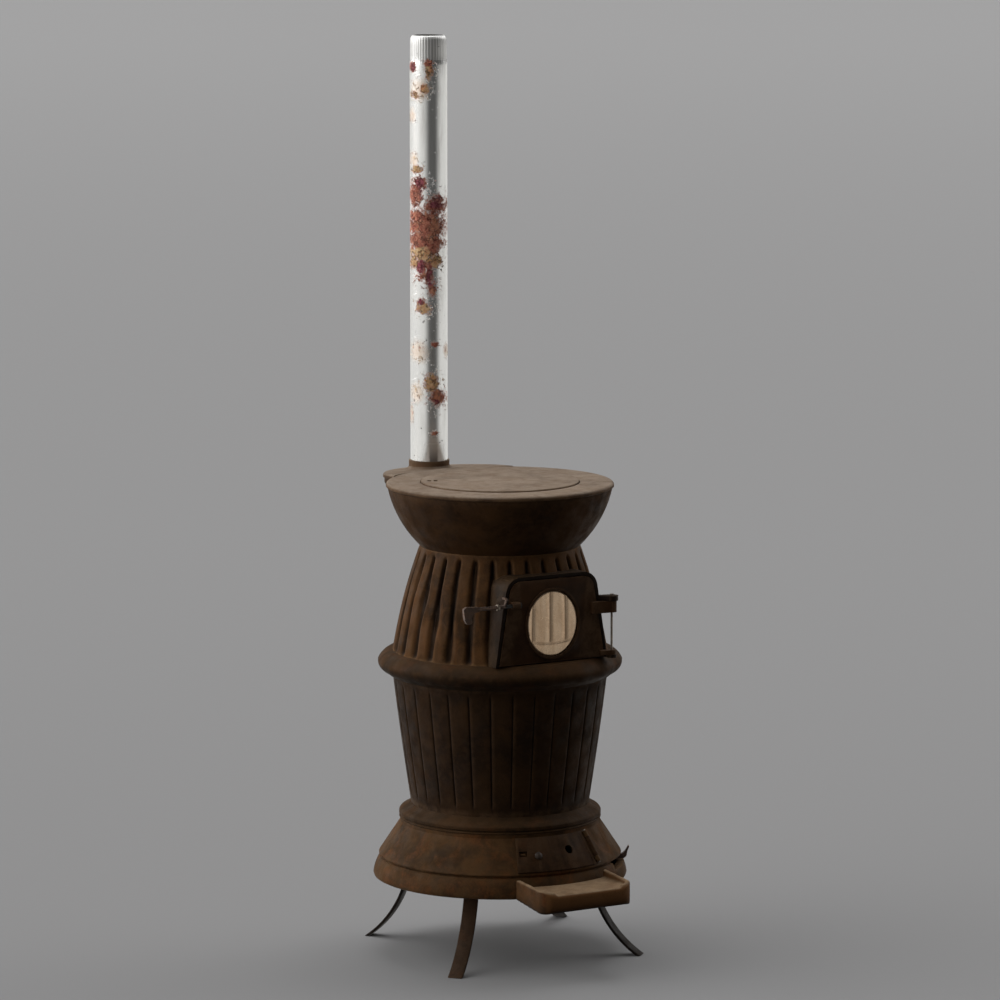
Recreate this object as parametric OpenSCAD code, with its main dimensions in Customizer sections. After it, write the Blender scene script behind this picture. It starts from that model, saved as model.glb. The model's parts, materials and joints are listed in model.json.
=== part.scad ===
// Potbelly stove with a fluted barrel, a mica feed door, an ash door, a hearth shelf and a flue pipe.
// Millimetres, +Z up. The origin is on the floor below the stove's own axis, and the doors face -Y.
// Azimuths are measured about the axis from -Y, positive towards +X.

/* [Base] */
// Height of the base's bottom edge above the floor
base_z = 149; // [130:1:175]
// Height of the ash base casting
base_h = 121; // [112:1:130]
// Radius of the rounded band round the foot of the base
band_r = 256.5; // [250:0.5:264]
// Height of that band
band_h = 41; // [38:1:44]
// Setback of the flare's overhanging lower edge behind the band
flare_in = 11.5; // [9:0.5:15]
// Setback of the base's top edge behind the band
base_top_in = 54.5; // [52:0.5:58]
// Wall of the ash base
base_wall = 8; // [6:0.5:10]
// Thickness of the ash base's floor
base_floor = 8; // [6:0.5:10]
// Height of the grate ring between the base and the fire pot
ring_h = 30; // [26:1:34]
// Radius of the grate ring's rim
ring_r = 204; // [202:1:208]

/* [Fire pot and belly ring] */
// Height of the fire pot
pot_h = 268; // [240:1:300]
// Radius of the fire pot at its foot
pot_foot_r = 180; // [176:1:186]
// Radius of the fire pot at its top
pot_top_r = 217; // [212:1:220]
// Wall of the fire pot at a stave
pot_wall = 11; // [9:0.5:13]
// Depth of the grooves between its staves
pot_groove = 2.5; // [1.5:0.5:4]
// Stand of the belly ring's crest outside the fire pot's top
belly_out = 29; // [24:1:34]
// Height of the belly ring above the fire pot's top
belly_h = 44; // [40:1:50]
// Drop of the belly ring's skirt below the fire pot's top
belly_skirt = 6; // [4:1:10]

/* [Barrel and bowl] */
// Height of the fluted barrel
barrel_h = 212; // [200:1:225]
// Crest radius at the barrel's foot
barrel_foot_r = 216.5; // [213:0.5:219]
// Crest radius at the barrel's neck
barrel_neck_r = 161; // [157:1:165]
// Slope of the barrel's wall at its foot
barrel_foot_slope = 0.16; // [0.1:0.01:0.2]
// Slope of the barrel's wall at its neck
barrel_neck_slope = 0.37; // [0.3:0.01:0.42]
// Wall of the barrel at a crest
barrel_wall = 14; // [12:0.5:16]
// Depth of the flutes
flute_depth = 7; // [4:0.5:8]
// Number of flutes round the barrel, and of staves round the fire pot
flute_n = 30; // [24:2:36]
// Plain band above the flutes
flute_top = 15; // [10:1:20]
// Plain band below the flutes
flute_foot = 5; // [3:1:8]
// Height of the bowl above the barrel
bowl_h = 117; // [110:1:125]
// Radius of the bowl at its rim
bowl_r = 226; // [222:1:228]
// Rise of the bowl's outline above its chord
bowl_bulge = 10; // [6:1:14]
// Wall of the bowl
bowl_wall = 7; // [6:0.5:9]

/* [Top, lid and flue] */
// Thickness of the top plate
plate_t = 10; // [9:0.5:12]
// Radius of the top plate
plate_r = 229; // [228:0.5:232]
// Radius of the cook lid
lid_r = 159; // [150:1:165]
// Thickness of the cook lid
lid_t = 8.5; // [7:0.5:10]
// Gap round the lid
lid_gap = 0.8; // [0.5:0.1:1.5]
// Width of the ledge that the lid rests on
lid_ledge = 9; // [6:1:12]
// Radius of the half-round extension behind the top
nose_r = 139; // [136:1:145]
// Setback of that extension's centre from the axis
nose_y = 187; // [180:1:190]
// Slope of that extension down to the rear, in degrees
nose_lean = 3.2; // [0:0.1:5]
// Depth of the smoke box under that extension
nose_h = 58; // [50:1:70]
// Setback of the flue from the axis
flue_y = 282; // [262:1:284]
// Outer radius of the stove pipe
pipe_r = 38.1; // [37:0.1:39]
// Wall of the stove pipe
pipe_wall = 1.2; // [0.8:0.1:2]
// Length of the stove pipe
pipe_l = 892; // [860:1:960]
// Length of pipe below the collar's top
pipe_in = 24; // [20:1:26]
// Length of the crimped end
crimp_l = 53; // [45:1:60]
// Step of the crimped end below the pipe's radius
crimp_step = 1.4; // [1:0.1:2]
// Height of the flue collar above the top plate
collar_h = 12; // [11:1:18]
// Wall of the flue collar
collar_wall = 3.2; // [3:0.1:5]
// Radial gap between the pipe and its collar
collar_gap = 0.3; // [0.2:0.1:0.5]

/* [Feed door] */
// Half-width of the feed door at its foot
door_foot_w = 121.5; // [112:0.5:123]
// Half-width of the feed door at its top
door_top_w = 93.5; // [86:0.5:96]
// Height of the feed door
door_h = 166; // [150:1:168]
// Rise of the feed door's foot above the barrel's foot
door_rise = 2.5; // [2:0.5:6]
// Radius of the feed door's top corners
door_corner = 25; // [14:1:30]
// Distance of the door frame's face in front of the axis
frame_y = 200; // [198:1:203]
// Width of the raised frame round the feed door
frame_w = 8; // [6:0.5:9]
// Thickness of the feed door
door_t = 8; // [7:0.5:10]
// Stand of the feed door's face in front of its frame
door_proud = 2; // [1:0.5:3]
// Gap round the feed door
door_gap = 1.5; // [1:0.1:2.5]
// Width of the landing that the feed door shuts on
door_land = 12; // [10:1:15]
// Half-width of the mica window
mica_w = 58.5; // [50:0.5:62]
// Half-height of the mica window
mica_h = 67; // [58:0.5:68]
// Thickness of the mica pane
mica_t = 1.5; // [1:0.1:2]
// Height of the window's centre above the door's foot
mica_z = 77; // [74:1:79]
// Side offset of the hinge pin
pin_x = 134; // [133:0.5:138]
// Distance of the hinge pin in front of the frame's face
pin_y = 9; // [8.5:0.5:11]
// Radius of the hinge pin
pin_r = 2.2; // [1.8:0.1:3]
// Outer radius of the hinge knuckles
knuckle_r = 10; // [8:0.5:11]
// Height of the latch shaft above the door's foot
latch_z = 120.5; // [110:0.5:122]
// Radius of the latch shaft
latch_r = 4; // [3:0.5:5]

/* [Ash door and shelf] */
// Half-angle of the ash door about the axis
ash_half = 22.5; // [21:0.5:23]
// Thickness of the ash door
ash_t = 4.4; // [3:0.1:5]
// Radius of the round draft hole in the ash door
draft_r = 9; // [6:0.5:11]
// Radius of the ash latch's knob
knob_r = 7.5; // [6:0.5:9]
// Radius of the ash door's hinge barrel
ash_barrel_r = 5; // [4.5:0.5:6]
// Half-width of the hearth shelf
shelf_w = 105; // [96:1:108]
// Reach of the hearth shelf's front edge beyond the base's band
shelf_reach = 88.5; // [70:0.5:95]
// Height of the shelf's side walls at the base
shelf_side = 42; // [36:1:44]
// Wall of the hearth shelf
shelf_wall = 10; // [8:0.5:11]

/* [Grate and shaker] */
// Radius of the grate
grate_r = 144; // [138:1:146]
// Thickness of the grate
grate_t = 12; // [9:1:14]
// Azimuth of the shaker lever
shaker_az = 60; // [55:1:66]
// Half-angle that the shaker slot leaves the lever
shaker_swing = 20; // [10:1:22]
// Width of the shaker lever
shaker_w = 12; // [9:1:14]

/* [Legs] */
// Radius of the circle that the feet stand on
foot_r = 303; // [285:1:310]
// Radius at which a leg leaves the base
leg_top_r = 198; // [190:1:205]
// Width of a leg
leg_w = 30; // [26:1:38]
// Thickness of a leg
leg_t = 5.5; // [5:0.5:8]
// Half of the angle that a leg's curve turns through
leg_bend = 23.5; // [18:0.5:26]
// Radius of the leg bolts
leg_bolt_r = 5; // [4:0.5:6]

/* [Hidden] */
$fn = 96;
touch = 0.3;      // clearance between pieces of different bodies that rest on each other
run = 0.08;       // radial clearance of a turning fit
hole_gap = 0.5;   // radial clearance of a bolt in its hole
cut = 1;          // how far a cutting tool runs past a face
arc_n = 10;       // segments in a drawn arc

ring_z = base_z + base_h;
pot_z = ring_z + ring_h;
seat_z = pot_z + pot_h;
barrel_z = seat_z + belly_h;
bowl_z = barrel_z + barrel_h;
plate_z = bowl_z + bowl_h;
top_z = plate_z + plate_t;
collar_z = top_z + collar_h;
pipe_z = collar_z - pipe_in;
flare_r = band_r - flare_in;
base_top_r = band_r - base_top_in;
belly_r = pot_top_r + belly_out;
shelf_y = band_r + shelf_reach;
flare_z = base_z + band_h + 7;
flare_top = ring_z - 8;
flare_lean = atan((flare_r - base_top_r) / (flare_top - flare_z));   // lean of the flare from upright
leg_azimuths = [-48, 42, 124, -141];
leg_reach = [5, -3, 0, -13];      // how far each foot stands outside the circle of the feet

// ---- Drawing helpers ----

function unit(v) = v / norm(v);

// Points of an arc that rounds the corner at b, between its neighbours a and c
function corner(a, b, c, r) =
    let (u = unit(a - b), v = unit(c - b), half = acos(u * v) / 2,
         o = b + unit(u + v) * r / sin(half),
         p = b + u * r / tan(half) - o, q = b + v * r / tan(half) - o,
         from = atan2(p[1], p[0]), turn = atan2(q[1], q[0]) - from,
         sweep = turn > 180 ? turn - 360 : turn < -180 ? turn + 360 : turn)
    [for (i = [0:arc_n]) o + r * [cos(from + sweep * i / arc_n), sin(from + sweep * i / arc_n)]];

// Outline through corners that are each rounded to their own radius; 0 keeps one sharp
function rounded(pts, radii) =
    [for (i = [0:len(pts) - 1])
        let (n = len(pts), a = pts[(i + n - 1) % n], b = pts[i], c = pts[(i + 1) % n])
        each (radii[i] > 0 ? corner(a, b, c, radii[i]) : [b])];

// Arc from p to q that stands h off its chord, on the right of the way from p to q
function bulged(p, q, h) =
    let (half = norm(q - p) / 2, r = (half * half + h * h) / (2 * h), way = unit(q - p),
         o = (p + q) / 2 - [way[1], -way[0]] * (r - h),
         from = atan2(p[1] - o[1], p[0] - o[0]), span = 2 * asin(half / r))
    [for (i = [0:arc_n]) o + r * [cos(from + span * i / arc_n), sin(from + span * i / arc_n)]];

module ellipse_area(a, b) { polygon([for (i = [0:3:357]) [a * cos(i), b * sin(i)]]); }

// Turns a piece from the front (-Y) to an azimuth
module at_azimuth(a) { rotate([0, 0, a]) children(); }

// Extrudes an outline drawn in X and Z between two distances in front of the axis
module facing(back, front) {
    translate([0, -back, 0]) rotate([90, 0, 0]) linear_extrude(front - back) children();
}

// Extrudes an outline drawn in radius and Z to a width, standing at the front
module radial_slab(w) {
    translate([w / 2, 0, 0]) rotate([90, 0, -90]) linear_extrude(w) children();
}

// Wedge about the axis between two azimuths and two heights
module wedge(a0, a1, z0, z1, r0 = 120, r1 = 300) {
    rotate([0, 0, a0 - 90]) rotate_extrude(angle = a1 - a0)
        translate([r0, z0]) square([r1 - r0, z1 - z0]);
}

// ---- Fluted walls ----

// Crest radius of the barrel at a share of its height, from the slopes at both ends
function barrel_crest(t) =
    (2 * t ^ 3 - 3 * t ^ 2 + 1) * barrel_foot_r - (t ^ 3 - 2 * t ^ 2 + t) * barrel_h * barrel_foot_slope
    + (3 * t ^ 2 - 2 * t ^ 3) * barrel_neck_r - (t ^ 3 - t ^ 2) * barrel_h * barrel_neck_slope;

// Share of the groove's depth across one pitch: narrow round valleys between broad ribs
flute_shape = [[0, 1], [0.12, 0.7], [0.24, 0.18], [0.5, 0], [0.76, 0.18], [0.88, 0.7]];
// The staves of the fire pot meet in narrow grooves
stave_shape = [[0, 1], [0.1, 0.15], [0.5, 0], [0.9, 0.15]];

function fluted_ring(r, d, z, shape) =
    [for (i = [0:flute_n - 1]) for (s = shape)
        let (a = 360 / flute_n * (i + s[0]), c = r - d * s[1]) [c * sin(a), -c * cos(a), z]];

// Solid through fluted rings, each given as radius, groove depth and height
module fluted_solid(rings, shape) {
    n = flute_n * len(shape);
    m = len(rings);
    points = [for (k = rings) each fluted_ring(k[0], k[1], k[2], shape)];
    sides = [for (k = [0:m - 2]) for (i = [0:n - 1])
        let (a = k * n + i, b = k * n + (i + 1) % n) each [[a, a + n, b], [b, a + n, b + n]]];
    foot = [for (i = [0:n - 1]) i];
    head = [for (i = [n - 1:-1:0]) (m - 1) * n + i];
    polyhedron(points, concat([foot], sides, [head]));
}

// ---- Ash base, its legs and its shelf ----

function flare_face(z) = flare_r - (z - flare_z) * tan(flare_lean);

// Point in radius and height that stands off the flare's face by d
function off_flare(z, d) = [flare_face(z) + d * cos(flare_lean), z + d * sin(flare_lean)];

// Frame on the flare's face: X runs with the azimuth, Y up the slope, Z straight out
module on_flare(az, z) {
    at_azimuth(az) translate([0, -flare_face(z), z]) rotate([90 - flare_lean, 0, 0]) children();
}

base_outline = concat(
    [[0, base_z], [band_r - 6.5, base_z], [band_r - 1.5, base_z + 2.5]],
    bulged([band_r, base_z + 7], [flare_r - 1, flare_z - 8], 2),
    [[flare_r - 4, flare_z - 7], [flare_r - 4, flare_z - 5], [flare_r, flare_z - 2], [flare_r, flare_z],
     [base_top_r, flare_top], [base_top_r, ring_z], [0, ring_z]]);

base_hollow = [[0, base_z + base_floor], [band_r - base_wall - 6, base_z + base_floor],
               [flare_r - base_wall - 6, flare_z - 6], [flare_r - base_wall - 5, flare_z],
               [base_top_r - base_wall, flare_top], [base_top_r - base_wall, ring_z + cut],
               [0, ring_z + cut]];

port_left = -16;                  // azimuths and heights of the ash port
port_right = 17.5;
port_low = flare_z + 7;
port_high = flare_top - 8;
ash_low = flare_z + 2.5;          // lower and upper edges of the ash door
ash_high = flare_top - 1;
ash_long = (ash_high - ash_low) / cos(flare_lean);
ash_axis_h = ash_barrel_r + 0.6;  // height of the ash door's hinge axis off the flare
ash_pin_r = 2;
ash_lug_l = 12;
keeper_z = flare_z + 35;          // height of the keeper that shows through the ash door
keeper_az = -19.2;
shaker_mid = flare_z - 13;        // middle height of the shaker lever and of its slot
shaker_h = 9;
leg_bolt_at = leg_top_r - 34;
shelf_bolt_x = 60;
shelf_bolt_y = band_r - 41;
shelf_bolt_r = 4;
shelf_tab = 8;
shelf_back = band_r - 66;         // where the shelf's solid starts, inside the band
shelf_tab_l = 0.24 * band_r;      // length of the tab under the base

// Line of the ash door's hinge: the axis of the pin runs along +Z from the door's lower edge
module ash_hinge_line() {
    on_flare(ash_half, ash_low) translate([0, 0, ash_axis_h]) rotate([-90, 0, 0]) children();
}

module ash_lug(from) {
    ash_hinge_line() translate([0, 0, from]) cylinder(r = ash_barrel_r, h = ash_lug_l);
    on_flare(ash_half, ash_low) translate([-1, from, -3]) cube([ash_barrel_r + 1, ash_lug_l, ash_axis_h + 3]);
}

module ash_base() {
    color([0.26, 0.17, 0.12]) difference() {
        union() {
            difference() {
                rotate_extrude() polygon(base_outline);
                rotate_extrude() polygon(base_hollow);
            }
            ash_lug(3);
            ash_lug(ash_long - ash_lug_l - 3);
            on_flare(keeper_az, keeper_z) translate([-5, -1.5, -2]) cube([10, 3, 4.5]);
        }
        wedge(port_left, port_right, port_low, port_high);
        wedge(shaker_az - shaker_swing - 3, shaker_az + shaker_swing + 3,
              shaker_mid - shaker_h / 2 - 3.5, shaker_mid + shaker_h / 2 + 3.5);
        for (a = leg_azimuths) at_azimuth(a) translate([0, -leg_bolt_at, base_z - cut])
            cylinder(r = leg_bolt_r + hole_gap, h = base_floor + 2 * cut);
        for (s = [-1, 1]) translate([s * shelf_bolt_x, -shelf_bolt_y, base_z - cut])
            cylinder(r = shelf_bolt_r + hole_gap, h = base_floor + 2 * cut);
        ash_hinge_line() translate([0, 0, 1]) cylinder(r = ash_pin_r, h = ash_long - 2);
    }
}

// A strap that curves out to its foot, with a tab under the base
module leg(i) {
    foot = foot_r + leg_reach[i];
    curve = norm([foot - leg_top_r, base_z]) / (2 * sin(leg_bend));
    start = atan((foot - leg_top_r) / base_z) - leg_bend;   // lean of the leg where it leaves the base
    color([0.22, 0.15, 0.11]) at_azimuth(leg_azimuths[i]) difference() {
        union() {
            radial_slab(leg_w) intersection() {
                translate([leg_top_r + curve * cos(start), base_z + curve * sin(start)])
                    difference() {
                        circle(r = curve + leg_t, $fn = 360);
                        circle(r = curve, $fn = 360);
                    }
                translate([leg_top_r - 60, 0]) square([foot - leg_top_r + 80, base_z]);
            }
            translate([-leg_w / 2, -leg_top_r, base_z - leg_t]) cube([leg_w, 56, leg_t]);
        }
        translate([0, -leg_bolt_at, base_z - leg_t - cut])
            cylinder(r = leg_bolt_r + hole_gap, h = leg_t + 2 * cut);
    }
}

// A bolt through the base's floor, with its head inside and its nut below; t is what it holds
module floor_bolt(r, t) {
    translate([0, 0, base_z + base_floor]) cylinder(r = 1.75 * r, h = 1.1 * r, $fn = 6);
    translate([0, 0, base_z - t - 2.2 * r]) cylinder(r = r, h = t + base_floor + 2.7 * r);
    translate([0, 0, base_z - t - 1.6 * r]) cylinder(r = 1.75 * r, h = 1.6 * r, $fn = 6);
}

module leg_bolts() {
    color([0.3, 0.25, 0.21]) for (a = leg_azimuths) at_azimuth(a) translate([0, -leg_bolt_at, 0])
        floor_bolt(leg_bolt_r, leg_t);
}

shelf_low = base_z - 12;          // underside of the shelf's front lip
shelf_floor = base_z + 25;        // tray floor at the base
shelf_corner = 26;

// Side view of the shelf in distance from the axis and height: z1 is its top at the base and z2 at the front
function shelf_side_view(z1, z2, back) =
    rounded([[back, base_z], [band_r - 22, base_z], [shelf_y - 20, shelf_low], [shelf_y, shelf_low],
             [shelf_y, z2], [back, z1]],
            [0, 10, 5, 12, 16, 0]);

module shelf_plan(in) {
    polygon(rounded([[in - shelf_w, -shelf_back], [in - shelf_w, in - shelf_y], [shelf_w - in, in - shelf_y],
                     [shelf_w - in, -shelf_back]], [0, shelf_corner - in, shelf_corner - in, 0]));
}

shelf_tray = [[shelf_back, shelf_floor + 2], [shelf_y - 8, shelf_floor + 1], [shelf_y + cut, shelf_floor - 1],
              [shelf_y + cut, base_z + 2 * shelf_side], [shelf_back, base_z + 2 * shelf_side]];

module hearth_shelf() {
    color([0.36, 0.28, 0.21]) difference() {
        union() {
            intersection() {
                translate([0, 0, shelf_low - cut]) linear_extrude(shelf_side + 20) shelf_plan(0);
                radial_slab(2 * shelf_w + 2)
                    polygon(shelf_side_view(base_z + shelf_side + 3, base_z + shelf_side - 9, shelf_back));
            }
            translate([-shelf_bolt_x - 3.5 * shelf_bolt_r, -band_r - shelf_tab, base_z - shelf_tab])
                cube([2 * shelf_bolt_x + 7 * shelf_bolt_r, shelf_tab_l, shelf_tab]);
        }
        // The tray between its rims, and the low front lip
        intersection() {
            translate([0, 0, shelf_low]) linear_extrude(2 * shelf_side) shelf_plan(shelf_wall);
            radial_slab(2 * shelf_w) polygon(shelf_tray);
        }
        radial_slab(2 * (shelf_w - shelf_corner - 4)) polygon(shelf_tray);
        // The hollow under the tray
        difference() {
            translate([0, 0, shelf_low - 2 * cut])
                linear_extrude(shelf_floor - shelf_low - 9) shelf_plan(shelf_wall);
            translate([0, 0, shelf_low - 3 * cut]) cylinder(r = band_r + shelf_wall, h = 2 * shelf_side);
        }
        translate([0, 0, base_z]) cylinder(r = band_r + 0.2, h = 2 * shelf_side);
        for (s = [-1, 1]) translate([s * shelf_bolt_x, -shelf_bolt_y, base_z - shelf_tab - cut])
            cylinder(r = shelf_bolt_r + hole_gap, h = shelf_tab + 2 * cut);
    }
}

module shelf_bolts() {
    color([0.3, 0.25, 0.21]) for (s = [-1, 1]) translate([s * shelf_bolt_x, -shelf_bolt_y, 0])
        floor_bolt(shelf_bolt_r, shelf_tab);
}

// ---- Ash door ----

ash_latch_az = -11.7;
ash_latch_z = flare_z + 30;
ash_shaft_r = 3.5;
draft_az = 6.7;                   // place of the draft hole
draft_z = flare_z + 36.4;
tongue_l = 24;
tongue_d = 12;                    // depth of the tongue's near face behind the flare's face

module ash_door() {
    knuckle_l = ash_long - 2 * ash_lug_l - 7;
    color([0.31, 0.21, 0.15]) difference() {
        union() {
            rotate([0, 0, -ash_half - 90]) rotate_extrude(angle = 2 * ash_half - 2.1)
                polygon([off_flare(ash_low, touch), off_flare(ash_low, touch + ash_t),
                         off_flare(ash_high, touch + ash_t), off_flare(ash_high, touch)]);
            ash_hinge_line() translate([0, 0, ash_lug_l + 3.5]) cylinder(r = ash_barrel_r, h = knuckle_l);
            on_flare(ash_half, ash_low) translate([-14, ash_lug_l + 3.5, 0.9])
                cube([14, knuckle_l, ash_t - 0.9]);
        }
        ash_hinge_line() cylinder(r = ash_pin_r + run, h = ash_long);
        on_flare(draft_az, draft_z) translate([0, 0, -5]) cylinder(r = draft_r, h = 20);
        on_flare(keeper_az, keeper_z) translate([-8.5, -5.5, -5]) cube([17, 11, 20]);
        on_flare(ash_latch_az, ash_latch_z) translate([0, 0, -5]) cylinder(r = ash_shaft_r + run, h = 20);
    }
}

module ash_hinge_pin() {
    color([0.34, 0.29, 0.25]) ash_hinge_line() translate([0, 0, 1]) {
        cylinder(r = ash_pin_r, h = ash_long - 2);
        translate([0, 0, ash_long - 4]) cylinder(r = ash_pin_r + 1.5, h = 3);
    }
}

// Turn button with a tongue that hangs inside the port until it is turned behind the port's left edge
module ash_latch() {
    color([0.34, 0.26, 0.2]) on_flare(ash_latch_az, ash_latch_z) {
        translate([0, 0, ash_t + 2 * touch]) rotate_extrude()
            polygon([[0, 0], [knob_r - 1, 0], [knob_r, 1.5], [knob_r, 4], [knob_r - 2, 6.5], [0, 7.5]]);
        translate([0, 0, -tongue_d - 4.5]) cylinder(r = ash_shaft_r, h = tongue_d + ash_t + 5.5);
        translate([-6, -tongue_l, -tongue_d - 4]) cube([12, tongue_l + 6, 4]);
    }
}

// ---- Grate ring, grate and shaker ----

grate_seat = ring_z + 12;         // ledge that the grate turns on
grate_z = grate_seat + touch;
ledge_r = grate_r - 12;

module grate_ring() {
    color([0.34, 0.26, 0.2]) rotate_extrude() polygon([
        [ledge_r, ring_z], [ring_r, ring_z], [ring_r, ring_z + 3], [ring_r - 2.5, ring_z + 4],
        [ring_r - 2.5, ring_z + 5.5], [ring_r, ring_z + 6.5], [ring_r, pot_z - 17],
        [ring_r - 3, pot_z - 13], [ring_r - 9, pot_z - 10], [pot_foot_r + 6, pot_z - 5],
        [pot_foot_r + 1, pot_z],
        [grate_r + 2.5, pot_z], [grate_r + 2.5, grate_seat], [ledge_r, grate_seat]]);
}

palm_r = 104;                     // radius at which the shaker's post stands
rivet_r = 2.5;
rivet_out = 14;                   // radial offset of each rivet from the post's middle

module grate() {
    color([0.2, 0.14, 0.11]) difference() {
        translate([0, 0, grate_z]) cylinder(r = grate_r, h = grate_t);
        intersection() {
            translate([0, 0, grate_z - cut]) cylinder(r = grate_r - 14, h = grate_t + 2 * cut);
            at_azimuth(shaker_az) for (i = [-5:5]) if (i != 0)
                translate([i * 22 - 5.5 - sign(i) * 3, -grate_r, grate_z - 2 * cut])
                    cube([11, 2 * grate_r, grate_t + 4 * cut]);
        }
        for (s = [-1, 1]) at_azimuth(shaker_az) translate([0, -palm_r - s * rivet_out, grate_z - cut])
            cylinder(r = rivet_r + 0.1, h = grate_t + 2 * cut);
    }
}

horn_r = flare_r + 4;             // inner face of the upturned horn

module shaker_lever() {
    low = shaker_mid - shaker_h / 2;
    high = shaker_mid + shaker_h / 2;
    color([0.3, 0.23, 0.18]) at_azimuth(shaker_az) difference() {
        radial_slab(shaker_w) polygon(rounded(
            [[palm_r - 6, low], [horn_r, low], [horn_r + 7, low + 4.5], [horn_r + 9, high + 6.5],
             [horn_r + 13, flare_z + 8], [horn_r + 10.5, flare_z + 8.5], [horn_r + 4, high + 5.5],
             [horn_r - 3, high], [palm_r + 6, high], [palm_r + 6, grate_z - 7],
             [palm_r + 21, grate_z - 7], [palm_r + 21, grate_z],
             [palm_r - 21, grate_z], [palm_r - 21, grate_z - 7], [palm_r - 6, grate_z - 7]],
            [0, 8, 8, 15, 0.8, 0.8, 14, 8, 6, 3, 0, 0, 0, 0, 3]));
        for (s = [-1, 1]) translate([0, -palm_r - s * rivet_out, grate_z - 8])
            cylinder(r = rivet_r + 0.1, h = 10);
    }
}

module shaker_rivets() {
    color([0.3, 0.25, 0.21]) at_azimuth(shaker_az) for (s = [-1, 1])
        translate([0, -palm_r - s * rivet_out, grate_z - 9.5]) {
            cylinder(r = rivet_r, h = grate_t + 9.5);
            cylinder(r = rivet_r + 1.5, h = 2.5);
        }
}

// ---- Fire pot and belly ring ----

module fire_pot() {
    at = [0, 0.06, 0.1, 0.9, 0.95, 1];
    deep = [0, 0, 1, 1, 0, 0];
    inner = [pot_foot_r - pot_wall, pot_top_r - pot_wall];
    color([0.25, 0.16, 0.11]) difference() {
        fluted_solid([for (i = [0:5]) [pot_foot_r + (pot_top_r - pot_foot_r) * at[i], pot_groove * deep[i],
                                       pot_z + pot_h * at[i]]], stave_shape);
        rotate_extrude() polygon([[0, pot_z - cut], [inner[0], pot_z - cut], [inner[0], pot_z],
                                  [inner[1], seat_z], [inner[1], seat_z + cut], [0, seat_z + cut]]);
    }
}

module belly_ring() {
    bore = pot_top_r - pot_wall;
    color([0.36, 0.28, 0.21]) rotate_extrude() polygon(concat(
        [[bore, seat_z], [pot_top_r + 1, seat_z], [pot_top_r + 1, seat_z - belly_skirt],
         [pot_top_r + 4, seat_z - belly_skirt]],
        bulged([pot_top_r + 16, seat_z + 3], [belly_r, seat_z + 20], 2),
        bulged([belly_r, seat_z + 24], [pot_top_r + 6, barrel_z], 5.5),
        [[bore - 22, barrel_z], [bore - 22, barrel_z - 9]]));
}

// ---- Fluted barrel with the frame of the feed door ----

door_z = barrel_z + door_rise;
door_top = door_z + door_h;
door_lean = (door_foot_w - door_top_w) / door_h;
door_back = frame_y + door_proud - door_t;
pin_at = frame_y + pin_y;
peg_r = 2.5;                      // catch peg of the feed latch
peg_off = 11.5;                   // distance of the peg behind the latch shaft
lug_low_t = 6;                    // thickness of the fixed lug at the hinge's foot
lug_top_z = door_z + 113;         // underside of the fixed lug at the hinge's head
lug_top_t = 10;

function door_w(z) = door_foot_w - (z - door_z) * door_lean;

// Outline of the feed door grown by g, with its foot at z
module door_area(g, z, r) {
    w0 = door_w(z) + g;
    w1 = door_top_w + g;
    polygon(rounded([[-w0, z], [w0, z], [w1, door_top + g], [-w1, door_top + g]], [0, 0, r, r]));
}

// A lug from x0 to the hinge pin, between two heights, whose root lies from y0 to y1 in front of the axis
module pin_lug(x0, y0, y1, z0, z1, r) {
    translate([0, 0, z0]) linear_extrude(z1 - z0) {
        translate([pin_x, -pin_at]) circle(r = r);
        polygon([[x0, -y0], [x0, -y1], [pin_x - r / 2, -pin_at - r * 0.85],
                 [pin_x + r / 2, -pin_at + r * 0.85]]);
    }
}

module barrel_hollow() {
    steps = 8;
    rotate_extrude() polygon(concat(
        [[0, barrel_z - cut], [barrel_crest(0) - barrel_wall, barrel_z - cut]],
        [for (i = [0:steps]) [barrel_crest(i / steps) - barrel_wall, barrel_z + barrel_h * i / steps]],
        [[barrel_crest(1) - barrel_wall, bowl_z + cut], [0, bowl_z + cut]]));
}

module fluted_barrel() {
    low = flute_foot;
    high = barrel_h - flute_top;
    run_h = high - low - 31;
    heights = [0, low, low + 4, low + 12, low + 12 + run_h / 4, low + 12 + run_h / 2,
               low + 12 + run_h * 3 / 4, high - 19, high - 8, high, barrel_h];
    depths = [0, 0, 0.6, 1, 1, 1, 1, 1, 0.75, 0, 0];
    color([0.23, 0.15, 0.11]) difference() {
        fluted_solid([for (i = [0:10]) [barrel_crest(heights[i] / barrel_h), flute_depth * depths[i],
                                        barrel_z + heights[i]]], flute_shape);
        barrel_hollow();
        facing(100, frame_y + 60) door_area(frame_w, barrel_z - cut, door_corner + frame_w);
    }
}

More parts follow.
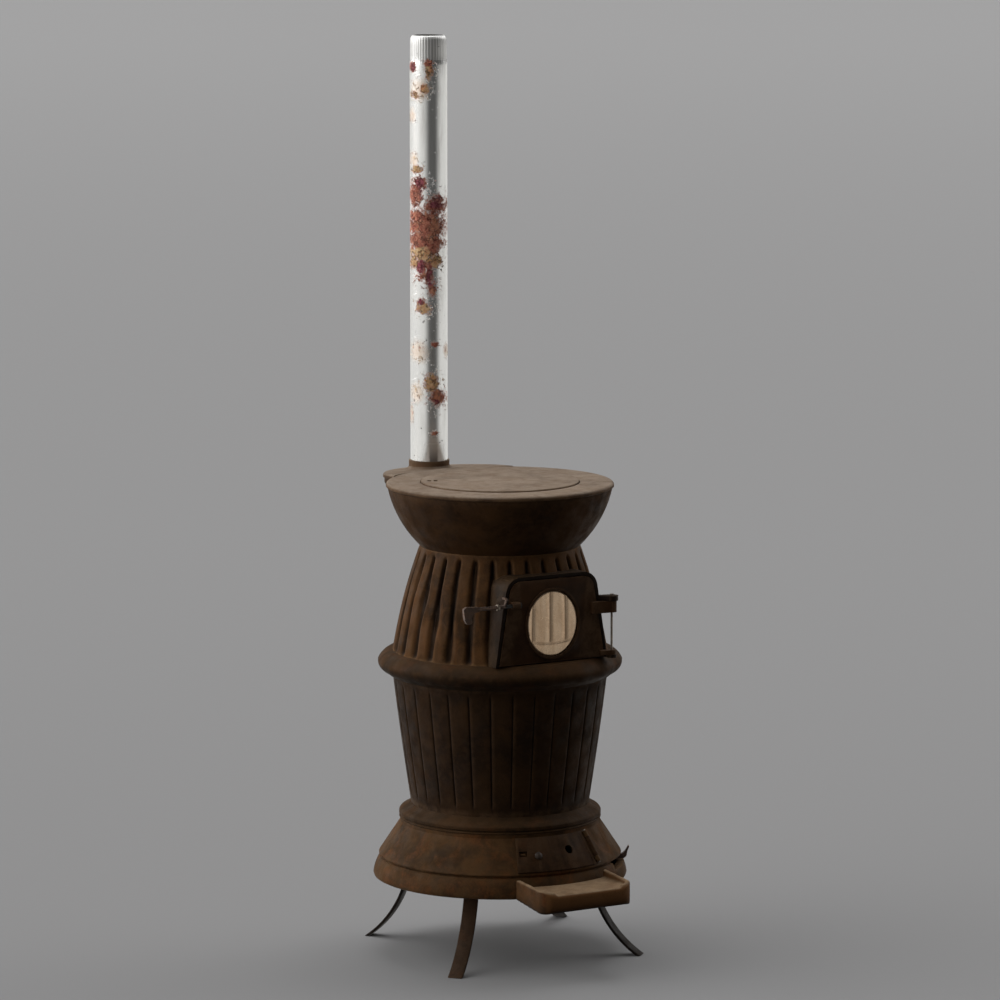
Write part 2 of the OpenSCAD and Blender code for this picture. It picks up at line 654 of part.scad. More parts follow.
// The part of the barrel's wall that frames the feed door, with the hinge's fixed lugs and the latch's peg
module door_frame() {
    root = frame_y - 14;
    color([0.24, 0.16, 0.12]) difference() {
        union() {
            difference() {
                facing(100, frame_y) door_area(frame_w, barrel_z, door_corner + frame_w);
                barrel_hollow();
            }
            facing(door_back - 10, frame_y) door_area(frame_w, barrel_z, door_corner + frame_w);
            pin_lug(door_w(door_z) + 3, root, frame_y, barrel_z + 0.5, barrel_z + 0.5 + lug_low_t, knuckle_r);
            pin_lug(door_w(lug_top_z) + 3, root, frame_y, lug_top_z, lug_top_z + lug_top_t, knuckle_r + 3);
            translate([-latch_peg_x, 0, 0]) rotate([0, 90, 0])
                translate([-door_z - latch_z, peg_off - pin_at, 0]) cylinder(r = peg_r, h = 14);
        }
        facing(100, frame_y + 60) door_area(-door_land, door_z + door_land, door_corner - 8);
        facing(door_back - touch, frame_y + 60) door_area(door_gap, barrel_z - cut, door_corner + door_gap);
        translate([pin_x, -pin_at, barrel_z - cut])
            cylinder(r = pin_r, h = lug_top_z + lug_top_t - barrel_z + 2 * cut);
    }
}

// ---- Feed door ----

rim_w = 0.085 * mica_w;           // width of the raised rim round the window
window_z = door_z + mica_z;
screw_r = 1.6;
screw_ring = 1.5 * rim_w;         // distance of the screws outside the window's edge
retainer_w = 2 * rim_w;
retainer_t = 3;
rebate_d = mica_t + retainer_t;
knuckle_low = barrel_z + 0.5 + lug_low_t + touch;
knuckle_top = lug_top_z - touch;

module at_screws() {
    for (a = [45:90:315])
        translate([(mica_w + screw_ring) * cos(a), 0, window_z + (mica_h + screw_ring) * sin(a)]) children();
}

module feed_door() {
    front = frame_y + door_proud;
    arm = front - 0.5;
    color([0.24, 0.16, 0.12]) difference() {
        union() {
            facing(door_back, front) door_area(0, door_z, door_corner);
            facing(front - 1, front + 3) translate([0, window_z])
                ellipse_area(mica_w + rim_w, mica_h + rim_w);
            pin_lug(door_w(knuckle_low) - 12, arm, arm + 11, knuckle_low, knuckle_low + 9, knuckle_r - 1);
            pin_lug(door_w(knuckle_top) - 14, arm, arm + 11, knuckle_top - 23, knuckle_top, knuckle_r);
            translate([-boss_x - boss_l, -pin_at, door_z + latch_z - boss_r])
                cube([boss_l, pin_at - arm, 2 * boss_r]);
            translate([-boss_x - boss_l, -pin_at, door_z + latch_z]) rotate([0, 90, 0])
                cylinder(r = boss_r, h = boss_l);
        }
        facing(door_back - cut, front + 10) translate([0, window_z]) ellipse_area(mica_w, mica_h);
        facing(door_back - cut, door_back + rebate_d) translate([0, window_z])
            ellipse_area(mica_w + retainer_w + touch, mica_h + retainer_w + touch);
        at_screws() translate([0, -door_back - rebate_d + cut, 0]) rotate([90, 0, 0])
            cylinder(r = screw_r + 0.1, h = 3.5, $fn = 24);
        translate([pin_x, -pin_at, door_z - cut]) cylinder(r = pin_r + run, h = door_h);
        translate([-boss_x - 30, -pin_at, door_z + latch_z]) rotate([0, 90, 0])
            cylinder(r = latch_r + run, h = 40);
    }
}

module mica_pane() {
    color([0.76, 0.6, 0.38, 0.75]) facing(door_back + retainer_t, door_back + rebate_d)
        translate([0, window_z]) ellipse_area(mica_w + rim_w, mica_h + rim_w);
}

module mica_retainer() {
    color([0.3, 0.24, 0.2]) difference() {
        facing(door_back, door_back + retainer_t) translate([0, window_z]) difference() {
            ellipse_area(mica_w + retainer_w, mica_h + retainer_w);
            ellipse_area(mica_w, mica_h);
        }
        at_screws() rotate([90, 0, 0]) cylinder(r = screw_r + 0.1, h = frame_y + 20, $fn = 24);
    }
}

module retainer_screws() {
    color([0.42, 0.38, 0.33]) at_screws() translate([0, -door_back, 0]) rotate([90, 0, 0]) {
        cylinder(r = screw_r, h = rebate_d + 2, $fn = 24);
        translate([0, 0, -1.6]) cylinder(r = screw_r * 1.8, h = 1.6, $fn = 24);
    }
}

module feed_hinge_pin() {
    low = barrel_z + touch;
    high = lug_top_z + lug_top_t;
    color([0.36, 0.3, 0.25]) translate([pin_x, -pin_at, low]) {
        cylinder(r = pin_r, h = high - low);
        translate([0, 0, high - low]) cylinder(r = pin_r + 1.8, h = 3);
    }
}

// ---- Feed latch ----

boss_l = 17;                      // length and radius of the latch's boss on the door
boss_r = latch_r + 3;
boss_x = door_w(door_z + latch_z) - boss_l - 3;   // inner end of that boss
latch_peg_x = door_w(door_z + latch_z) + frame_w + 10;
claw_x = latch_peg_x - 7;
collar_x = claw_x + 16;
grip_end = collar_x + 82;

// Frame on the latch shaft: Z runs out along it to the left, X points down and Y points to the stove
module on_shaft(x) {
    translate([-x, -pin_at, door_z + latch_z]) rotate([0, -90, 0]) rotate([0, 0, 180]) children();
}

module feed_latch() {
    z0 = door_z + latch_z;
    color([0.33, 0.27, 0.23]) {
        on_shaft(boss_x - 3) cylinder(r = latch_r + 2, h = 2.7);
        on_shaft(boss_x - 3) cylinder(r = latch_r, h = grip_end - boss_x - 28);
        // The claw stands up when the handle hangs, and turns down behind the peg
        on_shaft(claw_x) rotate([0, 0, 145]) rotate_extrude(angle = 55)
            translate([peg_off + peg_r + 1, 0]) square([4, 5]);
        on_shaft(claw_x) rotate([0, 0, 147]) translate([0, -2.5, 0]) cube([peg_off + peg_r + 4, 5, 5]);
        facing(pin_at - 3.5, pin_at + 3.5) polygon(rounded(
            [[36 - grip_end, z0 + 4.5], [36 - grip_end, z0 - 4.5], [24 - grip_end, z0 - 6],
             [18 - grip_end, z0 - 14], [20 - grip_end, z0 - 27], [9 - grip_end, z0 - 29],
             [3 - grip_end, z0 - 20], [-grip_end, z0 + 2], [6 - grip_end, z0 + 7]],
            [1, 1, 5, 7, 4, 5, 8, 4, 6]));
    }
}

module latch_collar() {
    color([0.5, 0.46, 0.4]) on_shaft(collar_x) difference() {
        cylinder(r = latch_r + 3, h = 5, $fn = 6);
        translate([0, 0, -cut]) cylinder(r = latch_r, h = 5 + 2 * cut);
    }
}

// ---- Bowl, top, lid and pipe ----

nose_z = plate_z - nose_h + plate_t;

module bowl_shell(in, from, to) {
    wall = bulged([barrel_neck_r, bowl_z], [bowl_r, plate_z], bowl_bulge);
    rotate_extrude() polygon(concat([[0, from], [barrel_neck_r - in, from]],
                                    [for (p = wall) [p[0] - in, p[1]]], [[bowl_r - in, to], [0, to]]));
}

module smoke_room(in, to) {
    translate([0, nose_y, 0]) rotate_extrude() polygon(concat(
        [[0, nose_z + in]], bulged([nose_r - 50, nose_z + in], [nose_r - in, nose_z + 36], 7),
        [[nose_r - in, to], [0, to]]));
}

nose_bend = nose_y + 3;           // distance behind the axis from which the extension slopes down

// Tilts what is drawn level to the slope of the extension's top
module on_nose() {
    translate([0, nose_bend, top_z]) rotate([-nose_lean, 0, 0]) translate([0, -nose_bend, -top_z]) children();
}

module upper_bowl() {
    color([0.25, 0.17, 0.12]) difference() {
        bowl_shell(0, bowl_z, plate_z);
        bowl_shell(bowl_wall, bowl_z - cut, plate_z + cut);
        smoke_room(bowl_wall, plate_z + cut);
    }
}

// Half-round box behind the bowl, which leads to the flue
module smoke_box() {
    color([0.25, 0.17, 0.12]) difference() {
        smoke_room(0, plate_z);
        smoke_room(bowl_wall, plate_z + cut);
        bowl_shell(0, bowl_z - cut, plate_z + cut);
        on_nose() translate([-plate_r, nose_bend - 20, plate_z]) cube([2 * plate_r, nose_r + 20, nose_h]);
    }
}

seat_top = top_z - 6;             // ledge that the lid rests on
sleeve_r = pipe_r + collar_gap;

module plate_disc() {
    translate([0, 0, plate_z]) rotate_extrude() polygon([[0, 0], [plate_r - 2, 0], [plate_r, 2],
        [plate_r, plate_t - 3], [plate_r - 3, plate_t], [0, plate_t]]);
}

module top_plate() {
    color([0.36, 0.29, 0.22]) difference() {
        union() {
            plate_disc();
            translate([0, 0, plate_z - 6]) cylinder(r = lid_r + 5, h = 7);
        }
        translate([0, 0, seat_top]) cylinder(r = lid_r + lid_gap, h = 20);
        translate([0, 0, plate_z - 10]) cylinder(r = lid_r - lid_ledge, h = 30);
    }
}

// The extension of the top over the smoke box, with the collar of the flue
module flue_plate() {
    outer = sleeve_r + collar_wall;
    color([0.36, 0.29, 0.22]) difference() {
        union() {
            difference() {
                on_nose() nose_plate();
                translate([0, 0, plate_z - 2 * plate_t]) cylinder(r = plate_r + touch, h = 5 * plate_t);
            }
            translate([0, flue_y, pipe_z - 2]) cylinder(r = outer, h = collar_z - pipe_z + 2);
            on_nose() translate([0, flue_y, top_z - 1]) cylinder(r1 = outer + 6, r2 = outer, h = 6);
        }
        translate([0, flue_y, pipe_z]) cylinder(r = sleeve_r, h = collar_z - pipe_z + cut);
        translate([0, flue_y, pipe_z - plate_t]) cylinder(r = pipe_r - 4, h = 2 * plate_t);
    }
}

module nose_plate() {
    translate([0, nose_y, plate_z]) rotate_extrude() polygon([[0, 0], [nose_r + 1, 0], [nose_r + 3, 2],
        [nose_r + 3, plate_t - 3], [nose_r, plate_t], [0, plate_t]]);
}

slot_x = -120;                    // place of the lifter's slot in the lid
slot_y = 63;

module cook_lid() {
    color([0.38, 0.31, 0.24]) difference() {
        translate([0, 0, seat_top + touch]) rotate_extrude()
            polygon([[0, 0], [lid_r, 0], [lid_r, lid_t - 1.5], [lid_r - 1.5, lid_t], [0, lid_t]]);
        translate([slot_x, slot_y, seat_top + lid_t - 5.5]) rotate([0, 0, -28]) difference() {
            translate([-10, -8, 0]) cube([20, 16, 20]);
            translate([-2.5, -9, 2.5]) cube([5, 18, 20]);
        }
    }
}

module stove_pipe() {
    step_z = pipe_l - crimp_l;
    color([0.86, 0.84, 0.8]) translate([0, flue_y, pipe_z]) rotate_extrude() polygon([
        [pipe_r - pipe_wall, 0], [pipe_r, 0], [pipe_r, step_z - 3], [pipe_r - crimp_step, step_z],
        [pipe_r - crimp_step, pipe_l], [pipe_r - crimp_step - pipe_wall, pipe_l],
        [pipe_r - crimp_step - pipe_wall, step_z - 1], [pipe_r - pipe_wall, step_z - 4]]);
}

ash_base();
leg(0);  // leg_front_left
leg(1);  // leg_front_right
leg(2);  // leg_rear_right
leg(3);  // leg_rear_left
leg_bolts();
hearth_shelf();
shelf_bolts();
ash_door();
ash_hinge_pin();
ash_latch();
grate_ring();
grate();
shaker_lever();
shaker_rivets();
fire_pot();
belly_ring();
fluted_barrel();
door_frame();
feed_door();
mica_pane();
mica_retainer();
retainer_screws();
feed_hinge_pin();
feed_latch();
latch_collar();
upper_bowl();
smoke_box();
top_plate();
flue_plate();
cook_lid();
stove_pipe();
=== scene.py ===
"""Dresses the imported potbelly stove: rusty castings, metal pipe, mica window, floor, lamps and camera."""
import json
import math

import bmesh
import bpy
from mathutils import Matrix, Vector


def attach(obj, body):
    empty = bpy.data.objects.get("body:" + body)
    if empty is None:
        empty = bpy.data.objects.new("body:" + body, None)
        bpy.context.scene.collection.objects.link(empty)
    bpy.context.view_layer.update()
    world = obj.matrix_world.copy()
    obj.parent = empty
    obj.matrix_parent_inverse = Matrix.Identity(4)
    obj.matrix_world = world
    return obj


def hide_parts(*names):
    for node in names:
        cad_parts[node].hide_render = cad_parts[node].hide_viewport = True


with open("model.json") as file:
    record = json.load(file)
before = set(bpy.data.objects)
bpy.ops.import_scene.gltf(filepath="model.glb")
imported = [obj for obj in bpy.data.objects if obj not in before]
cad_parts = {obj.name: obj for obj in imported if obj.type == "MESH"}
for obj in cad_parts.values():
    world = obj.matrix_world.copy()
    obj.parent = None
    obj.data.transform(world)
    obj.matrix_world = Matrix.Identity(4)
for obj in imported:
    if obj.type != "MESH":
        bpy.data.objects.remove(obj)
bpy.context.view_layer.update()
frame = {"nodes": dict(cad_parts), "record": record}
record = frame["record"]
BODY_OF = {node: body for body, nodes in record["behaviour"]["bodies"].items() for node in nodes}
SLOT_OF = {row["node"]: row["material_slot"] for row in record["subparts"]}
MM = 0.001
TURN = 2.0 * math.pi

# ---- Sizes in millimetres, most of them repeated from the source ----

POT_Z, SEAT_Z, BARREL_Z, BOWL_Z, PLATE_Z, TOP_Z = 300.0, 568.0, 612.0, 824.0, 941.0, 951.0
POT_FOOT_R, POT_TOP_R, POT_WALL, POT_GROOVE = 180.0, 217.0, 11.0, 2.5
BARREL_H, BARREL_FOOT_R, BARREL_NECK_R, BARREL_WALL = 212.0, 216.5, 161.0, 14.0
BARREL_FOOT_SLOPE, BARREL_NECK_SLOPE = 0.16, 0.37
FLUTE_N, FLUTE_DEPTH, FLUTE_TOP, FLUTE_FOOT = 30, 7.0, 9.0, 5.0      # the pot has as many staves
BELLY_R = 246.0
PLATE_R, LID_R, LID_GAP, LID_LEDGE = 229.0, 159.0, 0.8, 9.0
FLUE_Y, PIPE_R, PIPE_WALL, PIPE_Z, PIPE_L = 282.0, 38.1, 1.2, 939.0, 892.0
CRIMPS, CRIMP_L, CRIMP_STEP = 40, 53.0, 1.4
PIPE_TOP = PIPE_Z + PIPE_L
DOOR_Z, DOOR_H, DOOR_FOOT_W, DOOR_TOP_W, DOOR_CORNER, FRAME_W = 614.5, 166.0, 121.5, 93.5, 25.0, 8.0
MICA_W, MICA_H, WINDOW_Z, MICA_Y, MICA_DEEP, MICA_RIM = 58.5, 67.0, 691.5, 201.5, 4.5, 4.9
MICA_LINES = (-45.9, -5.0, 30.3)      # folds that run down the window: how far across at its middle height
FOLD_Z = 651.5                        # the fold across it

# ---- Camera ----

YAW = math.radians(31.0)      # round the stove from its front
PITCH = 8.2                   # degrees below level
REACH = 10.729                # metres from the stove's axis, level with the floor
HEIGHT = 2.4594
LENS = 194.4


def link(name, data):
    """Object of a mesh, lamp or camera, placed in the scene."""
    thing = bpy.data.objects.new(name, data)
    bpy.context.collection.objects.link(thing)
    return thing


def add_camera():
    camera = link("camera", bpy.data.cameras.new("camera"))
    camera.data.sensor_width = 36.0
    camera.data.lens = LENS
    camera.data.clip_end = 200.0
    camera.location = (-REACH * math.sin(YAW), -REACH * math.cos(YAW), HEIGHT)
    camera.rotation_euler = (math.radians(90.0 - PITCH), 0.0, -YAW)
    bpy.context.scene.camera = camera


def seen_way(right, towards, up):
    """Direction from the stove in the photograph's terms: to the right, towards the viewer and up."""
    return Vector((right * math.cos(YAW) - towards * math.sin(YAW),
                   -right * math.sin(YAW) - towards * math.cos(YAW), up)).normalized()


# ---- Materials ----

def tone(r, g, b):
    """Colour given as it shows on a screen, 0 to 255, turned into Blender's linear values."""
    def linear(v):
        v /= 255.0
        return v / 12.92 if v <= 0.04045 else ((v + 0.055) / 1.055) ** 2.4
    return (linear(r), linear(g), linear(b), 1.0)


class Graph:
    """Builds a node tree; each method returns the socket that comes out of its node."""

    def __init__(self, tree):
        self.tree = tree

    def add(self, kind, inputs=None, out=0, **props):
        node = self.tree.nodes.new("ShaderNode" + kind)
        for key, value in props.items():
            setattr(node, key, value)
        for key, value in (inputs or {}).items():
            if isinstance(value, bpy.types.NodeSocket):
                self.tree.links.new(value, node.inputs[key])
            else:
                node.inputs[key].default_value = value
        return node.outputs[out]

    def place(self):
        return self.add("TexCoord", out="Object")

    def facing(self):
        return self.add("TexCoord", out="Normal")

    def corners(self):
        """Above a half on outer edges and below it in inner corners."""
        return self.add("NewGeometry", out="Pointiness")

    def axis(self, vector, index):
        return self.add("SeparateXYZ", {0: vector}, out=index)

    def rightward(self, at, y=0.0):
        """Metres to the photograph's right of the upright axis that stands at this Y."""
        return self.minus(self.both(self.axis(at, 0), math.cos(YAW)),
                          self.both(self.minus(self.axis(at, 1), y), math.sin(YAW)))

    def stretch(self, vector, x, y, z, shift=0.0):
        return self.add("Mapping", {0: vector, 1: (shift, shift, shift), 3: (x, y, z)})

    def noise(self, vector, scale, detail=4.0, rough=0.55, twist=0.0):
        return self.add("TexNoise", {"Vector": vector, "Scale": scale, "Detail": detail, "Roughness": rough,
                                     "Distortion": twist})

    def ramp(self, value, low, high, to_low=0.0, to_high=1.0):
        return self.add("MapRange", {0: value, 1: low, 2: high, 3: to_low, 4: to_high},
                        interpolation_type="SMOOTHSTEP")

    def between(self, share, at_none, at_all):
        return self.add("MapRange", {0: share, 3: at_none, 4: at_all})

    def math(self, operation, a, b=0.0):
        return self.add("Math", {0: a, 1: b}, operation=operation)

    def plus(self, a, b):
        return self.math("ADD", a, b)

    def minus(self, a, b):
        return self.math("SUBTRACT", a, b)

    def both(self, a, b):
        return self.math("MULTIPLY", a, b)

    def most(self, first, *rest):
        for value in rest:
            first = self.math("MAXIMUM", first, value)
        return first

    def off(self, value, middle):
        """How far a value lies from a middle."""
        return self.math("ABSOLUTE", self.minus(value, middle))

    def mix(self, share, a, b):
        return self.add("Mix", {0: share, 6: a, 7: b}, out=2, data_type="RGBA")

    def bump(self, height, distance, strength):
        return self.add("Bump", {"Height": height, "Distance": distance, "Strength": strength})


def new_material(name):
    material = bpy.data.materials.new(name)
    material.use_nodes = True
    return material, Graph(material.node_tree), material.node_tree.nodes["Principled BSDF"]


def connect(graph, shader, **sockets):
    for key, value in sockets.items():
        socket = shader.inputs[key.replace("_", " ")]
        if isinstance(value, bpy.types.NodeSocket):
            graph.tree.links.new(value, socket)
        else:
            socket.default_value = value


# Painted shade: the dark put into the bottoms of grooves and on faces that look down
PAINTED_SHADE = tone(12, 8, 6)

# Castings: name; dark, brown, rust and dust tones; shares of rust and dust; shift of the pattern; roughness; how far
# the edges are worn; and what only some of them have, most of it shade and light painted into the colour
CASTINGS = (
    ("iron_body", ((40, 26, 14), (66, 44, 24), (70, 44, 25), (84, 64, 46)), 0.25, 0.3, 0.0, 0.7, 0.5, {}),
    ("pot", ((31, 20, 11), (51, 34, 18), (70, 46, 28), (84, 64, 46)), 0.25, 0.3, 0.7, 0.7, 0.5,
     {"groove": (0.045, POT_Z + 4, SEAT_Z, 0.5)}),
    ("barrel", ((49, 33, 18), (82, 56, 32), (100, 64, 33), (108, 82, 55)), 0.4, 0.3, 1.7, 0.7, 0.5,
     {"streak": 0.45, "groove": (0.22, BARREL_Z - 8, BOWL_Z - 4, 0.72)}),
    ("belt", ((38, 26, 14), (60, 41, 23), (82, 48, 25), (78, 58, 37)), 0.45, 0.3, 2.3, 0.72, 0.5, {"under": 0.4}),
    ("base", ((46, 32, 18), (76, 53, 30), (108, 62, 29), (96, 73, 48)), 0.5, 0.3, 3.1, 0.72, 0.5, {"hollow": 0.1}),
    ("ash_door", ((32, 20, 11), (51, 33, 19), (80, 47, 24), (76, 56, 36)), 0.4, 0.25, 3.7, 0.72, 0.5, {}),
    ("door", ((44, 28, 16), (64, 42, 25), (72, 46, 27), (88, 68, 50)), 0.15, 0.3, 4.3, 0.55, 0.6, {}),
    ("frame", ((25, 17, 10), (40, 27, 17), (52, 34, 21), (72, 55, 38)), 0.3, 0.3, 4.9, 0.55, 0.6,
     {"front": (26, 17, 11)}),
    ("iron_dusty", ((62, 45, 32), (96, 74, 54), (104, 66, 44), (133, 119, 105)), 0.3, 0.9, 5.9, 0.7, 0.3, {}),
    ("shelf", ((53, 36, 20), (84, 57, 33), (112, 63, 29), (141, 119, 94)), 0.5, 0.85, 7.7, 0.66, 0.12,
     {"front": (108, 74, 44), "under": 0.8, "low_shade": (134.0, 168.0, 0.7)}),
    ("iron_legs", ((32, 22, 15), (56, 39, 26), (80, 50, 30), (74, 58, 44)), 0.5, 0.2, 8.3, 0.7, 0.5, {}),
    # Darker copy of iron_legs for the legs that stand in shade: painted shade
    ("dark_legs", ((15, 11, 9), (26, 19, 14), (44, 30, 20), (58, 48, 40)), 0.4, 0.1, 8.9, 0.6, 0.25, {}),
    ("iron_sooty", ((26, 23, 21), (42, 36, 32), (62, 44, 33), (84, 78, 72)), 0.3, 0.6, 9.1, 0.75, 0.5, {}),
)


def cast_iron(name, tones, rust_share, dust_share, shift, rough, edge,
              streak=0.0, hollow=0.7, groove=None, front=None, under=0.0, low_shade=None):
    """Rusty casting: dark and brown cloudy patches, rust blooms, dust that lies on what faces up, worn edges.

    streak is the share of rust that runs down, hollow that of the shade painted in inner corners, and
    under that of the shade painted on what faces down. groove paints shade in the bottoms of the flutes or
    the joints of the staves: its half-width in pitches, two heights and its share. front is a tone painted on faces
    towards the door as their light and shade, darker on the frame and lighter on the shelf. low_shade paints shade
    on all between two heights, with its share at the lower.
    """
    material, g, shader = new_material(name)
    dark, brown, rust, dust = (tone(*each) for each in tones)
    at = g.stretch(g.place(), 1.0, 1.0, 1.0, shift)
    height = g.axis(g.place(), 2)
    cloud = g.noise(at, 11.0, 5.0, 0.6, 0.4)
    mottle = g.noise(at, 46.0, 6.0, 0.65, 0.6)
    speck = g.noise(at, 240.0, 4.0, 0.6)
    colour = g.mix(g.ramp(cloud, 0.36, 0.66), dark, brown)
    colour = g.mix(g.ramp(mottle, 0.42, 0.72, 0.0, 0.65), colour, brown)
    bloom = g.both(g.ramp(g.noise(at, 21.0, 6.0, 0.62, 0.9), 0.52 - 0.12 * rust_share, 0.72), rust_share)
    bloom = g.both(bloom, g.ramp(speck, 0.3, 0.6, 0.45, 1.0))
    colour = g.mix(bloom, colour, rust)
    if streak:
        runs = g.noise(g.stretch(at, 60.0, 60.0, 5.0), 1.0, 4.0, 0.6)
        colour = g.mix(g.ramp(runs, 0.45, 0.75, 0.0, streak), colour, rust)
    up = g.ramp(g.axis(g.facing(), 2), 0.15, 0.95)
    film = g.both(up, g.ramp(g.noise(at, 30.0, 5.0, 0.6, 0.5), 0.25, 0.7, 0.45, 1.0))
    colour = g.mix(g.both(film, dust_share), colour, dust)
    worn = g.both(g.ramp(g.corners(), 0.505, 0.56), g.ramp(mottle, 0.35, 0.6, 0.25, 1.0))
    colour = g.mix(g.both(worn, edge), colour, dust)
    # Painted shade in inner corners, where pointiness is low
    colour = g.mix(g.ramp(g.corners(), 0.44, 0.495, hollow, 0.0), colour, tone(10, 7, 5))
    # Painted shade in the bottoms of the barrel's flutes and the joints of the pot's staves
    if groove:
        wide, low, high, share = groove
        turn = g.math("ARCTAN2", g.axis(g.place(), 0), g.both(g.axis(g.place(), 1), -1.0))
        lane = g.math("FRACT", g.plus(g.both(turn, FLUTE_N / TURN), FLUTE_N + 0.5))
        inside = g.both(g.ramp(height, low * MM, (low + 14) * MM),
                        g.ramp(height, (high - 34) * MM, high * MM, 1.0, 0.0))
        groove_shading = g.both(g.ramp(g.off(lane, 0.5), wide * 0.35, wide, share, 0.0), inside)
        colour = g.mix(groove_shading, colour, PAINTED_SHADE)
    # Painted shade on faces that look down
    if under:
        colour = g.mix(g.ramp(g.axis(g.facing(), 2), -0.55, 0.1, under, 0.0), colour, PAINTED_SHADE)
    # Painted light and shade on faces towards the door: darker on the frame, lighter on the shelf
    if front:
        faced = g.ramp(g.both(g.axis(g.facing(), 1), -1.0), 0.6, 0.9)
        colour = g.mix(g.both(faced, 0.85), colour, tone(*front))
    # Painted shade, darker towards the bottom between the two heights
    if low_shade:
        low, high, share = low_shade
        colour = g.mix(g.ramp(height, low * MM, high * MM, share, 0.0), colour, tone(14, 9, 6))
    colour = g.mix(g.ramp(speck, 0.25, 0.5, 0.28, 0.0), colour, dark)
    gloss = g.ramp(g.noise(at, 34.0, 4.0, 0.6), 0.3, 0.7, rough - 0.09, rough + 0.16)
    pits = g.plus(g.both(g.noise(at, 420.0, 3.0, 0.6), 0.6), g.both(mottle, 0.9))
    connect(g, shader, Base_Color=colour, Roughness=gloss, Metallic=0.0, Specular_IOR_Level=0.08,
            Normal=g.bump(pits, 0.0011, 0.55))
    return material


# Small forged parts: name, dark and light tones, roughness, how metallic, and the X from which one is painted in shade
METALS = (
    ("forged_iron", (56, 42, 36), (112, 90, 80), 0.55, 0.2, None),
    ("latch_iron", (46, 31, 22), (94, 70, 54), 0.62, 0.1, -112.0),
    ("worn_iron", (32, 22, 14), (54, 39, 27), 0.66, 0.1, None),
    ("steel", (78, 68, 60), (150, 138, 124), 0.42, 0.6, None),
)


def bare_metal(name, dark, light, rough, metallic, shade_from):
    """Worn forged iron or dull steel with brushed mottling."""
    material, g, shader = new_material(name)
    at = g.place()
    mottle = g.noise(at, 90.0, 6.0, 0.65, 0.5)
    fine = g.noise(at, 700.0, 3.0, 0.6)
    colour = g.mix(g.ramp(mottle, 0.35, 0.7), tone(*dark), tone(*light))
    worn = g.ramp(g.corners(), 0.505, 0.57)
    colour = g.mix(g.both(worn, 0.3), colour, tone(*light))
    # Painted shade on the part that reaches in past the given X, towards the door
    if shade_from is not None:
        colour = g.mix(g.ramp(g.axis(at, 0), (shade_from - 4) * MM, shade_from * MM), colour, tone(18, 13, 10))
    gloss = g.ramp(mottle, 0.3, 0.7, rough - 0.1, rough + 0.12)
    connect(g, shader, Base_Color=colour, Metallic=metallic, Roughness=gloss,
            Normal=g.bump(g.plus(fine, mottle), 0.0005, 0.5))
    return material


# Rust on the pipe, in millimetres: height, offset to the photograph's right, half-height and half-width
RED_RUST = ((1776, 1, 8, 8), (1768, -32, 9, 6), (1534, -18, 13, 12), (1510, -26, 22, 13), (1490, 12, 17, 19),
            (1462, -20, 16, 18), (1444, -6, 30, 35), (1412, 8, 22, 18), (1414, -18, 24, 22), (1362, -14, 22, 11),
            (1346, 1, 24, 8), (1318, 8, 16, 9), (1288, -13, 8, 9), (1094, 18, 15, 13), (1204, 12, 5, 7),
            (1021, 11, 4, 5))
GOLD_RUST = ((1760, 2, 14, 8), (1723, -8, 9, 9), (1711, -27, 7, 7), (1561, -23, 8, 9), (1392, -14, 22, 21),
             (1376, 15, 13, 11), (1371, -30, 11, 9), (1281, -9, 12, 14), (1126, 5, 15, 13))
WINE_RUST = ((1538, -18, 16, 11), (1512, -12, 14, 9), (1494, 14, 14, 16), (1364, -16, 20, 9), (1340, 3, 24, 9),
             (1290, -16, 7, 7), (1768, -32, 10, 7), (1084, 14, 8, 9))
PALE_RUST = ((1188, -20, 24, 21), (1104, -24, 22, 15), (1669, -33, 16, 8), (1060, -36, 22, 6), (1190, 35, 16, 6),
             (1722, -16, 24, 22), (1580, -30, 18, 10))
REFLECTION_BAND_ACROSS = 9.5      # middle of the dark stripe painted at the pipe's foot as a reflection, to the photograph's right


def nearness(g, across, height, spots):
    """1 at the middle of the nearest spot, 0 at its edge and less beyond it."""
    near = []
    for z, u, tall, wide in spots:
        du = g.math("DIVIDE", g.minus(across, u * MM), wide * MM)
        dz = g.math("DIVIDE", g.minus(height, z * MM), tall * MM)
        near.append(g.minus(1.0, g.math("SQRT", g.plus(g.both(du, du), g.both(dz, dz)))))
    return g.most(*near)


def rust_mask(g, at, rusty, pale, torn):
    """Where the rust lies: torn patches, flecks around them and a few loose scabs."""
    solid = g.ramp(g.plus(rusty, torn), -0.02, 0.1)
    near = g.most(g.ramp(rusty, -1.6, -0.2), g.both(g.ramp(pale, -0.4, 0.3), 0.6))
    flecks = g.both(near, g.ramp(g.noise(at, 150.0, 5.0, 0.7, 0.5), 0.575, 0.6))
    loose = g.ramp(g.noise(at, 36.0, 6.0, 0.66, 0.7), 0.7, 0.72, 0.0, 0.85)
    return g.most(solid, flecks, loose)


